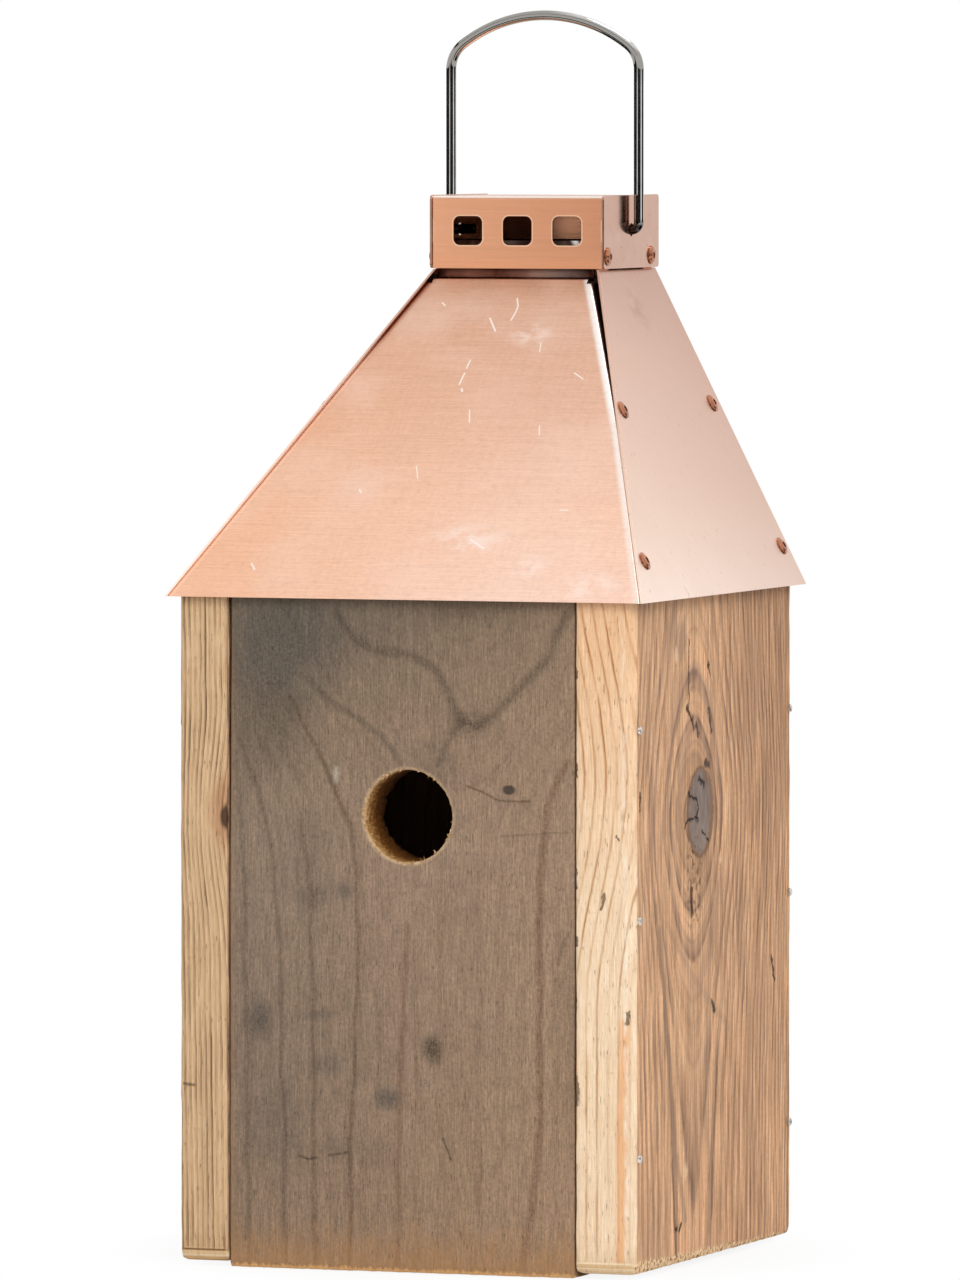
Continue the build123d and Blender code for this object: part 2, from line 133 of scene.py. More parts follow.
class NestBoxSteel(bpy.types.PropertyGroup):
    wire_sides: IntProperty(name="Wire sides", description="Faces around the bail's wire",
                            default=32, min=8, max=96)
    bright: colour_property("Bail", "Chrome-plated wire", "#d3d1ce")
    dull: colour_property("Brads and screws", "Zinc-plated steel", "#f0efec")
    head: length_property("Brad heads", "Radius of the brads' heads", 1.05)
    proud: length_property("Brads stand out", "Height of the brads' heads above the board", 1.4)


class NestBoxStage(bpy.types.PropertyGroup):
    azimuth: FloatProperty(name="Azimuth", description="Of the camera, to the right of the front",
                           subtype="ANGLE", unit="ROTATION", default=radians(20.09))
    elevation: FloatProperty(name="Elevation", description="Of the camera", subtype="ANGLE",
                             unit="ROTATION", default=radians(2.62))
    distance: FloatProperty(name="Distance", description="Of the camera", subtype="DISTANCE",
                            unit="LENGTH", default=4.268)
    lens: FloatProperty(name="Lens", description="Focal length in millimetres", default=342.8)
    aside: length_property("Aim, left", "How far left of the box's middle the camera aims", 3.1)
    aim: length_property("Aim, height", "Height that the camera aims at", 214.0)
    sky: FloatProperty(name="Room light", description="Light of the white room on matt surfaces",
                       default=0.55, min=0.0)
    key: FloatProperty(name="Key lamp", description="Power of the lamp at the front right",
                       subtype="POWER", unit="POWER", default=44.0, min=0.0)
    fill: FloatProperty(name="Fill lamp", description="Power of the lamp at the front left",
                        subtype="POWER", unit="POWER", default=16.0, min=0.0)
    spark: FloatProperty(name="Spark lamp", description="Power of the small lamp in the folds' highlights",
                         subtype="POWER", unit="POWER", default=11.0, min=0.0)


# ---------------------------------------------------------------- working on the mesh
def take(piece):
    """Makes the piece the only selected object, and the active one."""
    bpy.ops.object.select_all(action="DESELECT")
    piece.select_set(True)
    bpy.context.view_layer.objects.active = piece
    return piece


def placed(name):
    """Names the fresh primitive and puts its place and size into its mesh."""
    piece = bpy.context.object
    piece.name = name
    piece.data.name = name
    bpy.ops.object.transform_apply(location=True, rotation=True, scale=True)
    return piece


def pick(piece, kind, wanted):
    """In edit mode, selects the vertices, edges or faces for whose middle and normal the test holds."""
    bpy.ops.mesh.select_mode(type=kind)
    bpy.ops.mesh.select_all(action="DESELECT")
    shape = bmesh.from_edit_mesh(piece.data)
    if kind == "VERT":
        for vert in shape.verts:
            vert.select_set(wanted(vert.co, vert.normal))
    elif kind == "EDGE":
        for edge in shape.edges:
            middle = (edge.verts[0].co + edge.verts[1].co) / 2
            edge.select_set(wanted(middle, (edge.verts[1].co - edge.verts[0].co).normalized()))
    else:
        for face in shape.faces:
            face.select_set(wanted(face.calc_center_median(), face.normal))
    bmesh.update_edit_mesh(piece.data)


def modify(piece, kind, **settings):
    """Adds a modifier, sets it and applies it."""
    take(piece)
    modifier = piece.modifiers.new(kind, kind)
    for key, value in settings.items():
        setattr(modifier, key, value)
    bpy.ops.object.modifier_apply(modifier=modifier.name)


def squared(name, low, high):
    """A squared board: a cube of its size, at its place, left in edit mode."""
    bpy.ops.object.select_all(action="DESELECT")
    bpy.ops.mesh.primitive_cube_add(size=1, location=(low + high) / 2, scale=high - low)
    piece = placed(name)
    bpy.ops.object.mode_set(mode="EDIT")
    return piece


def near(a, b):
    """Whether two places along an axis are the same."""
    return abs(a - b) < 0.01 * MM


def facing(at, way):
    """The transform that puts a piece at its place with its top facing a way."""
    return Matrix.Translation(at) @ way.to_track_quat("Z", "Y").to_matrix().to_4x4()


def copied(piece, name, transform):
    """A copy of the piece with its own mesh, moved by the transform."""
    copy = bpy.data.objects.new(name, piece.data.copy())
    copy.data.transform(transform)
    bpy.context.scene.collection.objects.link(copy)
    return copy


def joined(copies, name):
    """Joins the copies to one piece."""
    take(copies[0])
    for copy in copies:
        copy.select_set(True)
    bpy.ops.object.join()
    return placed(name)


def weather(piece, low, high, depth, reach, seed):
    """Wears the arrises of a board: a cloudy dent, drawn out along the grain, only near its box's edges."""
    group = piece.vertex_groups.new(name="arrises")
    for vert in piece.data.vertices:
        gaps = sorted([abs(c - e) for c, e in zip(vert.co, low)] + [abs(c - e) for c, e in zip(vert.co, high)])
        if gaps[1] < reach:
            group.add([vert.index], 1 - gaps[1] / reach, "REPLACE")
    bpy.ops.object.empty_add(location=(seed, 2 * seed, 0))
    grain = bpy.context.object
    grain.scale = (1, 1, 4)
    bpy.context.view_layer.update()
    clouds = bpy.data.textures.new("worn", "CLOUDS")
    clouds.noise_scale = 3 * MM
    clouds.contrast = 1.6
    modify(piece, "DISPLACE", texture=clouds, texture_coords="OBJECT", texture_coords_object=grain,
           vertex_group=group.name, direction="NORMAL", mid_level=0.0, strength=-depth)
    bpy.data.objects.remove(grain)
    piece.vertex_groups.clear()


def finished(piece, body, slot, material, *nodes):
    """Gives the piece its material, the body that it rides on and the nodes it stands for; its slot is not used."""
    piece.data.materials.clear()
    piece.data.materials.append(material)
    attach(piece, body)
    if nodes:
        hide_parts(*nodes)
    return piece


def softened(node_name, width, dissolve=1.0, reshape=None):
    """A merged copy of a CAD node, reshaped if asked, with its sharp edges softened."""
    piece = bpy.data.objects.new(node_name + "_dressed", NODES[node_name].data.copy())
    bpy.context.scene.collection.objects.link(piece)
    take(piece)
    bpy.ops.mesh.customdata_custom_splitnormals_clear()
    bpy.ops.object.mode_set(mode="EDIT")
    bpy.ops.mesh.select_all(action="SELECT")
    bpy.ops.mesh.remove_doubles(threshold=2e-6)
    bpy.ops.mesh.dissolve_limited(angle_limit=radians(dissolve))
    bpy.ops.mesh.normals_make_consistent(inside=False)
    if reshape:
        reshape(piece)
    bpy.ops.object.mode_set(mode="OBJECT")
    modify(piece, "BEVEL", width=width, segments=2, limit_method="ANGLE", angle_limit=radians(50),
           use_clamp_overlap=True)
    take(piece)
    bpy.ops.object.shade_smooth_by_angle(angle=radians(35))
    modify(piece, "WEIGHTED_NORMAL", keep_sharp=True)
    return piece


def hung(data, at, turn):
    """Hangs a lamp or the camera at its place, turned by a quaternion."""
    holder = bpy.data.objects.new(data.name, data)
    bpy.context.scene.collection.objects.link(holder)
    holder.location = at
    holder.rotation_mode = "QUATERNION"
    holder.rotation_quaternion = turn
    return holder


def area_lamp(name, width, height, power, at, turn):
    """A lamp with a flat face, hung at its place."""
    lamp = bpy.data.lights.new(name, "AREA")
    lamp.shape = "RECTANGLE"
    lamp.size, lamp.size_y = width, height
    lamp.energy = power
    return hung(lamp, at, turn)


# ---------------------------------------------------------------- working on materials
def node(tree, kind, *feeds, feed=None, stops=None, **settings):
    """Adds a node, sets it up and feeds its sockets, by order or by name."""
    made = tree.nodes.new("ShaderNode" + kind)
    for key, value in settings.items():
        setattr(made, key, value)
    if stops:
        ramp = made.color_ramp.elements
        while len(ramp) < len(stops):
            ramp.new(0.5)
        for element, (position, value) in zip(ramp, stops):
            element.position = position
            element.color = (*value, 1) if hasattr(value, "__len__") else (value, value, value, 1)
    pairs = [(made.inputs[i], v) for i, v in enumerate(feeds) if v is not None]
    pairs += [(made.inputs[k], v) for k, v in (feed or {}).items()]
    for socket, value in pairs:
        if isinstance(value, bpy.types.Node):
            value = next(o for o in value.outputs if o.enabled)
        if isinstance(value, bpy.types.NodeSocket):
            tree.links.new(value, socket)
        elif socket.type == "RGBA":
            socket.default_value = (*value[:3], 1)
        else:
            socket.default_value = value
    return made


def new_material(name):
    """An empty material with its tree, its shader and the object's own coordinates in millimetres."""
    material = bpy.data.materials.new(name)
    material.use_nodes = True
    tree = material.node_tree
    tree.nodes.clear()
    shader = node(tree, "BsdfPrincipled")
    node(tree, "OutputMaterial", shader)
    place = node(tree, "TexCoord")
    place = node(tree, "VectorMath", place.outputs["Object"], feed={"Scale": 1 / MM}, operation="SCALE")
    return material, tree, shader, place


def spread(tree, place, across, up, seed, detail=2.0, rough=0.5):
    """Noise over a face, its grains so many millimetres across and up."""
    stretched = node(tree, "VectorMath", place, (1 / across, 1 / up, 1), operation="MULTIPLY")
    moved = node(tree, "VectorMath", stretched, (seed, 3 * seed, seed), operation="ADD")
    return node(tree, "TexNoise", feed={"Vector": moved, "Scale": 1.0, "Detail": detail, "Roughness": rough})


def spot(tree, place, middle, radii, soft):
    """1 inside an oval on a face and 0 outside it, with a soft rim."""
    oval = node(tree, "Mapping", place, (*middle, 0), None, (*radii, 1), vector_type="TEXTURE")
    away = node(tree, "VectorMath", oval, operation="LENGTH")
    return node(tree, "MapRange", away, 1 - soft, 1 + soft, 1.0, 0.0, interpolation_type="SMOOTHSTEP")


def line_gap(tree, place, points):
    """How far, in millimetres, each point of a face is from a line through the points."""
    nearest = None
    for (u0, z0), (u1, z1) in zip(points, points[1:]):
        run = Vector((u1 - u0, z1 - z0, 0))
        start = node(tree, "VectorMath", place, (u0, z0, 0), operation="SUBTRACT")
        along = node(tree, "VectorMath", start, run / run.length_squared, operation="DOT_PRODUCT")
        share = node(tree, "Clamp", along)
        foot = node(tree, "VectorMath", run, feed={"Scale": share}, operation="SCALE")
        gap = node(tree, "VectorMath", start, foot, operation="DISTANCE")
        nearest = node(tree, "Math", nearest, gap, operation="MINIMUM") if nearest else gap
    return nearest


def stroke(tree, place, points, width, strength):
    """The share of a drawn line at each point of a face: full in its middle and none past its width."""
    return node(tree, "MapRange", line_gap(tree, place, points), 0.15 * width, width, strength, 0.0,
                interpolation_type="SMOOTHSTEP")


def strokes(tree, place, drawn):
    """The strongest of several full strokes, each given by its points and its width."""
    strongest = None
    for points, width in drawn:
        mark = stroke(tree, place, points, width, 1.0)
        strongest = node(tree, "Math", strongest, mark, operation="MAXIMUM") if strongest else mark
    return strongest


def tinted(tree, base, mask, share, tint):
    """The base colour under a tint, which is as strong as the mask times its share."""
    return node(tree, "MixRGB", node(tree, "Math", mask, share, operation="MULTIPLY"), base, linear(tint))


def face_of_board(tree, place, across, seed, sway=(4.2, 3.0, 0)):
    """The across and up distances over one face of a board, as a flat place and one that wanders a little."""
    split = node(tree, "SeparateXYZ", place)
    flat = node(tree, "CombineXYZ", split.outputs[across], split.outputs["Z"])
    wave = node(tree, "VectorMath", flat, (1 / 14, 1 / 22, 0), operation="MULTIPLY")
    shifted = node(tree, "VectorMath", wave, (seed, seed, seed), operation="ADD")
    ripple = node(tree, "TexNoise", feed={"Vector": shifted, "Scale": 1.0, "Detail": 4.0, "Roughness": 0.55})
    centred = node(tree, "VectorMath", ripple.outputs["Color"], (0.5, 0.5, 0.5), operation="SUBTRACT")
    wander = node(tree, "VectorMath", centred, sway, operation="MULTIPLY")
    return flat, node(tree, "VectorMath", flat, wander, operation="ADD")


def rings(tree, place, pith, depth, spacing, rise=0.0, tighten=0.0, knot=None, bulges=(), fan=None,
          start=0.4, paused=0.4):
    """Growth rings cut by a face: latewood lines, from 0 between them to 1 on them, each of its own strength."""
    split = node(tree, "SeparateXYZ", place)
    u, z = split.outputs["X"], split.outputs["Y"]
    off = node(tree, "Math", u, pith, operation="SUBTRACT")
    total = node(tree, "Math", off, off, operation="MULTIPLY")
    if knot:
        # The rings close around a knot: their distance from the pith grows above and below it.
        height, reach, limit = knot
        above = node(tree, "Math", z, height, operation="SUBTRACT")
        above = node(tree, "Math", above, operation="ABSOLUTE")
        fall = node(tree, "Math", node(tree, "Math", above, -reach, operation="DIVIDE"), operation="EXPONENT")
        lift = node(tree, "Math", fall, -limit, limit, operation="MULTIPLY_ADD")
        total = node(tree, "Math", lift, lift, total, operation="MULTIPLY_ADD")
    total = node(tree, "Math", total, depth * depth, operation="ADD")
    ring = node(tree, "Math", total, operation="SQRT") if depth or knot else u
    if rise:
        ring = node(tree, "Math", z, rise, ring, operation="MULTIPLY_ADD")
    if fan:
        # Above a height the rings fan outwards, as where the trunk swells to a branch.
        height, slope = fan
        over = node(tree, "Math", z, height, operation="SUBTRACT")
        over = node(tree, "Math", over, 0.0, 24.0, operation="SMOOTH_MAX")
        ring = node(tree, "Math", over, -slope, ring, operation="MULTIPLY_ADD")
    for middle, radii, amount in bulges:
        hump = spot(tree, place, middle, radii, soft=1.0)
        ring = node(tree, "Math", hump, amount, ring, operation="MULTIPLY_ADD")
    rate = node(tree, "Math", ring, tighten, 1 / spacing, operation="MULTIPLY_ADD")
    phase = node(tree, "Math", ring, rate, operation="MULTIPLY")
    part = node(tree, "Math", phase, operation="FRACT")
    which = node(tree, "Math", phase, operation="FLOOR")
    lot = node(tree, "TexWhiteNoise", feed={"W": which}, noise_dimensions="1D")
    lot = node(tree, "MapRange", lot.outputs["Value"], 0.0, 1.0, 0.3, 1.0)
    line = node(tree, "ValToRGB", part, stops=[(0.0, 0.3), (0.12, 0.0), (start, 0.0), (start / 3 + 0.6, 0.6),
                                               (0.9, 1.0), (1.0, 0.3)])
    line = node(tree, "Math", line, lot, operation="MULTIPLY")
    # Paler lines between them, where growth paused, and stretches where the line has weathered off.
    pauses = node(tree, "Math", phase, 3.0, operation="MULTIPLY")
    pause = node(tree, "ValToRGB", node(tree, "Math", pauses, operation="FRACT"),
                 stops=[(0.0, 0.1), (0.5, 0.0), (0.85, paused), (1.0, 0.1)])
    chance = node(tree, "TexWhiteNoise", feed={"W": node(tree, "Math", pauses, operation="FLOOR")},
                  noise_dimensions="1D")
    line = node(tree, "Math", pause, chance.outputs["Value"], line, operation="MULTIPLY_ADD")
    kept = spread(tree, place, 5.0, 28.0, 77.0, detail=3.0)
    return node(tree, "Math", line, node(tree, "MapRange", kept, 0.35, 0.62, 0.35, 1.1), operation="MULTIPLY")


def fibres(tree, flat, seed, across=0.5):
    """Fine fibres along the grain and the short dark ticks between them."""
    # Real fibres are 0.05 mm wide; they are drawn at least ten times as coarse, so that they show.
    fine = spread(tree, flat, across, 22.0 * across, seed, detail=4.0, rough=0.7)
    fine = node(tree, "MapRange", fine, 0.38, 0.62)
    ticks = spread(tree, flat, 1.1 * across, 8.0 * across, seed + 7, detail=3.0)
    ticks = node(tree, "MapRange", ticks, 0.64, 0.74)
    return fine, ticks


def dress_wood(tree, shader, colour, height, roughness, relief):
    """Feeds a timber's colour and relief, in millimetres, to its shader."""
    tree.links.new(colour.outputs[0], shader.inputs["Base Color"])
    shader.inputs["Roughness"].default_value = roughness
    shader.inputs["Specular IOR Level"].default_value = 0.22
    bump = node(tree, "Bump", feed={"Height": height, "Strength": 1.0, "Distance": relief * MM})
    tree.links.new(bump.outputs[0], shader.inputs["Normal"])


# ---------------------------------------------------------------- the timbers
def sawn_edge(tree, place, seed, early, late, ring_settings):
    """A board's sawn front edge: clear rings, fibres and faint saw marks across it."""
    flat, swayed = face_of_board(tree, place, "X", seed, sway=(1.3, 3.0, 0))
    line = rings(tree, swayed, **ring_settings)
    fine, ticks = fibres(tree, flat, seed)
    colour = node(tree, "MixRGB", line, early, late)
    colour = node(tree, "MixRGB", fine, colour, (0.86, 0.80, 0.74), blend_type="MULTIPLY")
    colour = tinted(tree, colour, ticks, 0.42, "#9a7046")
    # A band saw leaves a mark every 2 to 3 mm.
    saw = spread(tree, flat, 9.0, 1.1, seed + 3, detail=1.0)
    saw = node(tree, "MapRange", saw, 0.62, 0.78, 0.0, 0.12)
    colour = node(tree, "MixRGB", saw, colour, linear("#b98a5a"))
    clouds = spread(tree, flat, 16.0, 30.0, seed + 5)
    clouds = node(tree, "MapRange", clouds, 0.4, 0.75, 0.0, 0.35)
    colour = node(tree, "MixRGB", clouds, colour, (0.86, 0.8, 0.72), blend_type="MULTIPLY")
    height = node(tree, "Math", fine, 0.5, line, operation="MULTIPLY_ADD")
    height = node(tree, "Math", ticks, -1.5, height, operation="MULTIPLY_ADD")
    return flat, swayed, colour, height


def weathered_pine_front():
    """Grey weathered pine: dull and matt, silver-brown, with soot blotches and dark tide lines."""
    look = bpy.context.scene.nest_box_boards
    material, tree, shader, place = new_material("weathered_grey_pine")
    flat, swayed = face_of_board(tree, place, "X", 2.3)
    u, depth, z = node(tree, "SeparateXYZ", place).outputs
    up = node(tree, "MapRange", z, 0.0, BOARD_TOP)
    # Painted shade: the face is darker towards the top, under the eave; it is also darker on the left.
    left = node(tree, "ValToRGB", up, stops=[
        (0.0, linear("#957b63")), (0.06, linear("#8a7460")), (0.32, linear("#806e5e")),
        (0.62, linear("#867463")), (0.82, linear("#7b6a59")), (0.98, linear("#6a5f51"))])
    right = node(tree, "ValToRGB", up, stops=[
        (0.0, linear("#9f8268")), (0.3, linear("#9c8169")), (0.6, linear("#9b806a")),
        (0.85, linear("#927a64")), (0.98, linear("#86705c"))])
    sway = spread(tree, flat, 40.0, 90.0, 5.0)
    lean = node(tree, "Math", sway, 60.0, u, operation="MULTIPLY_ADD")
    lean = node(tree, "MapRange", lean, -35.0, 100.0)
    colour = node(tree, "MixRGB", lean, left, right)
    # Rings: a flat-sawn board whose rings fan out above the entrance.
    line = rings(tree, swayed, pith=19.7, depth=14.4, spacing=5.6, fan=(152.5, 0.66))
    colour = tinted(tree, colour, line, 0.2, "#5d4636")
    fine, ticks = fibres(tree, flat, 11.0)
    colour = node(tree, "MixRGB", fine, colour, (0.72, 0.71, 0.69), blend_type="MULTIPLY")
    colour = node(tree, "MixRGB", 1.0, colour, (1.53, 1.52, 1.51), blend_type="MULTIPLY")
    colour = tinted(tree, colour, ticks, 0.3, "#4b3b2e")
    mottle = node(tree, "MapRange", spread(tree, flat, 4.0, 8.0, 61.0, detail=4.0, rough=0.6), 0.38, 0.62)
    colour = node(tree, "MixRGB", mottle, colour, (0.87, 0.88, 0.90), blend_type="MULTIPLY")
    # Rubbed streaks where the pale wood shows through.
    rubbed = spread(tree, flat, 2.4, 34.0, 17.0, detail=3.0, rough=0.6)
    rubbed = node(tree, "MapRange", rubbed, 0.52, 0.74, 0.0, 0.35)
    colour = node(tree, "MixRGB", rubbed, colour, linear("#ab917c"))
    # Soot and tide marks: oval blotches and dark lines, across and up the face.
    speckle = spread(tree, flat, 0.9, 0.9, 23.0, detail=3.0, rough=0.7)
    speckle = node(tree, "MapRange", speckle, 0.3, 0.7, 0.35, 1.45)
    for middle, radii, strength, tone in (
            ((-46, 213), (20, 17), 0.55, "#4f4e4b"), ((-50, 190), (13, 15), 0.42, "#514b41"),
            ((-30, 222), (26, 12), 0.25, "#55504a"), ((24, 233), (24, 9), 0.34, "#4e4338"),
            ((-54, 86), (4.4, 6.5), 0.6, "#4c4a45"), ((-33, 88), (6, 2), 0.35, "#54504a"),
            ((-30, 71), (7, 3), 0.35, "#55524c"), ((-34, 129), (5, 4), 0.32, "#514e49"),
            ((-23, 131), (3.6, 3), 0.45, "#4c4a46"), ((-6.9, 59.7), (4, 3.4), 0.6, "#4b4b4a"),
            ((9.6, 77.1), (3.6, 4.4), 0.75, "#3d352b"), ((10.6, 65.7), (4, 3.4), 0.3, "#b09a80"),
            ((-48, 50), (10, 14), 0.28, "#56544f"), ((-20, 42), (12, 5), 0.22, "#565049"),
            ((24, 190), (8, 4.2), 0.42, "#4b4036"), ((12, 176), (7, 8), 0.2, "#4b4036"),
            ((-25.3, 171), (1.3, 2.4), 0.75, "#bfb19c"), ((-36.5, 204), (4.4, 4.4), 0.2, "#a39279"),
            ((60, 80), (5, 34), 0.25, "#5c4a3a"), ((-36, 140), (9, 16), 0.2, "#55504a")):
        blot = spot(tree, swayed, middle, radii, soft=0.7)
        blot = node(tree, "Math", blot, strength, operation="MULTIPLY")
        colour = tinted(tree, colour, blot, speckle, tone)
    # A small hollow, dented and painted dark as its shade.
    hollow = spot(tree, swayed, (38.0, 167.4), (2.1, 1.5), soft=0.3)
    colour = tinted(tree, colour, hollow, 0.8, "#2c2a27")
    for points, width, strength, tone in (
            (((-25, 227), (-18, 217), (-10.6, 214), (4, 212), (11.4, 206.6), (16, 199), (20, 191),
              (26, 189), (33.3, 193.6), (42.7, 203), (52.5, 212.4), (58.7, 227)), 2.9, 0.36, "#453b32"),
            (((20.5, 190), (16, 183.7), (12.5, 176)), 2.4, 0.3, "#4a4036"),
            (((-37.7, 205.8), (-28.9, 197.4), (-20.5, 191.7), (-8.4, 184), (-2, 175.8)), 2.3, 0.3, "#453c34"),
            (((-42.5, 198), (-34, 182), (-26.7, 168.5), (-20.5, 152.8), (-17.9, 135.6), (-17.8, 93.6),
              (-19.8, 59), (-20.6, 1)), 1.6, 0.4, "#5a4232"),
            (((-61, 183), (-53.6, 163.5), (-48.9, 140.4), (-47, 118.7), (-45, 60), (-44, 0)), 1.5, 0.33,
             "#54443a"),
            (((58.7, 177), (51.5, 159.7), (48.2, 137), (49, 80), (49.3, 52.4), (46.4, 30), (43.5, 3)),
             2.4, 0.38, "#6d4a36"),
            (((0.8, 120), (-2.2, 68), (-3.3, 1.6)), 1.8, 0.3, "#6a4835"),
            (((-38.9, 155), (-34.5, 127.6), (-33.5, 1)), 1.8, 0.3, "#584437"),
            (((-62.5, 175), (-59.9, 144), (-57.5, 0)), 1.7, 0.3, "#54463b"),
            (((22.4, 167.7), (34.4, 163.5), (45.3, 163)), 0.8, 0.5, "#5b3f2b"),
            (((34.4, 151.2), (59.8, 152.7)), 0.7, 0.25, "#54443a"),
            (((-40, 39.1), (-36, 38.2), (-32.7, 38.8)), 0.8, 0.5, "#352a20"),
            (((-27.9, 39.5), (-20.5, 41.1)), 0.8, 0.42, "#352a20"),
            (((14.0, 46.5), (16.2, 39.5)), 0.6, 0.6, "#43352a"),
            (((58.7, 118), (56, 108)), 1.4, 0.3, "#4d3f33")):
        gap = line_gap(tree, swayed, points)
        wash = node(tree, "MapRange", gap, 0.15 * width, width, strength, 0.0, interpolation_type="SMOOTHSTEP")
        core = node(tree, "MapRange", gap, 0.1 * width, 0.45 * width, 0.22 * strength, 0.0)
        drawn = node(tree, "Math", wash, core, operation="ADD")
        colour = tinted(tree, colour, drawn, speckle, tone)
    fuzz = spread(tree, flat, 1.0, 1.6, 51.0, detail=4.0, rough=0.8)
    fuzz = node(tree, "MapRange", fuzz, 0.36, 0.64)
    colour = node(tree, "MixRGB", fuzz, colour, (0.68, 0.69, 0.70), blend_type="MULTIPLY")
    # A paler patch rubbed above the base and the raw wood along it.
    foot = node(tree, "Math", spread(tree, flat, 5.0, 12.0, 31.0), -22.0, z, operation="MULTIPLY_ADD")
    foot = node(tree, "MapRange", foot, -9.0, 6.0, 0.55, 0.0)
    colour = node(tree, "MixRGB", foot, colour, linear("#a87c50"))
    rim = node(tree, "Math", spread(tree, flat, 1.2, 4.0, 37.0), -3.4, z, operation="MULTIPLY_ADD")
    rim = node(tree, "MapRange", rim, -1.0, 0.0, 0.85, 0.0)
    colour = node(tree, "MixRGB", rim, colour, linear("#d6a66f"))
    # The left arris is rubbed bare.
    bare = node(tree, "MapRange", u, -64.6, -62.4, 0.5, 0.0)
    colour = tinted(tree, colour, bare, fine, "#b07d50")
    # Both joints are painted dark: partly settled dirt, partly painted shade in the gaps.
    lean_edge = node(tree, "MapRange", z, OPEN_JOINT_FOOT, BOARD_TOP, 0.0, OPEN_JOINT)
    joint_dirt_and_shade = node(tree, "Math", u, lean_edge, operation="SUBTRACT")
    joint_dirt_and_shade = node(tree, "MapRange", joint_dirt_and_shade, -65.0, -64.6, 0.85, 0.0)
    colour = node(tree, "MixRGB", joint_dirt_and_shade, colour, linear("#1d1712"))
    joint_dirt_and_shade = node(tree, "MapRange", u, 61.1, 61.5, 0.0, 0.45)
    colour = node(tree, "MixRGB", joint_dirt_and_shade, colour, linear("#2a2018"))
    # Around the entrance the drill has torn the fibres; its wall is raw wood, browned by use and painted darker with
    # depth as painted shade inside the bore.
    out = node(tree, "VectorMath", flat, (*ENTRANCE, 0), operation="DISTANCE")
    torn = spread(tree, flat, 1.6, 2.6, 41.0, detail=5.0, rough=0.7)
    torn = node(tree, "Math", torn, -5.2, out, operation="MULTIPLY_ADD")
    torn = node(tree, "MapRange", torn, 13.0, 14.3, 0.7, 0.0)
    colour = node(tree, "MixRGB", torn, colour, look.raw)
    ring = node(tree, "MapRange", out, ENTRANCE_RADIUS + 0.4, ENTRANCE_RADIUS + 1.4, 0.9, 0.0)
    colour = tinted(tree, colour, ring, fuzz, "#cdb08c")
    turned = node(tree, "MapRange", spread(tree, place, 2.0, 2.0, 43.0, detail=4.0), 0.3, 0.7, -4.0, 4.0)
    turned = node(tree, "MapRange", node(tree, "Math", depth, turned, operation="ADD"), -84.0, -64.0)
    bore_wall_and_shade = node(tree, "ValToRGB", turned, stops=[(0.0, linear("#d2ac7c")), (0.2, linear("#b08450")),
                                                 (0.5, linear("#74491f")), (1.0, linear("#3d230e"))])
    inside = node(tree, "Math", depth, -82.6, operation="GREATER_THAN")
    within = node(tree, "Math", out, ENTRANCE_RADIUS + 0.35, operation="LESS_THAN")
    colour = node(tree, "MixRGB", node(tree, "Math", inside, within, operation="MULTIPLY"), colour, bore_wall_and_shade)
    height = node(tree, "Math", fine, 0.45, operation="MULTIPLY")
    height = node(tree, "Math", line, 0.5, height, operation="MULTIPLY_ADD")
    height = node(tree, "Math", ticks, -1.2, height, operation="MULTIPLY_ADD")
    height = node(tree, "Math", hollow, -3.0, height, operation="MULTIPLY_ADD")
    dress_wood(tree, shader, colour, height, 0.86, 0.26)
    return material


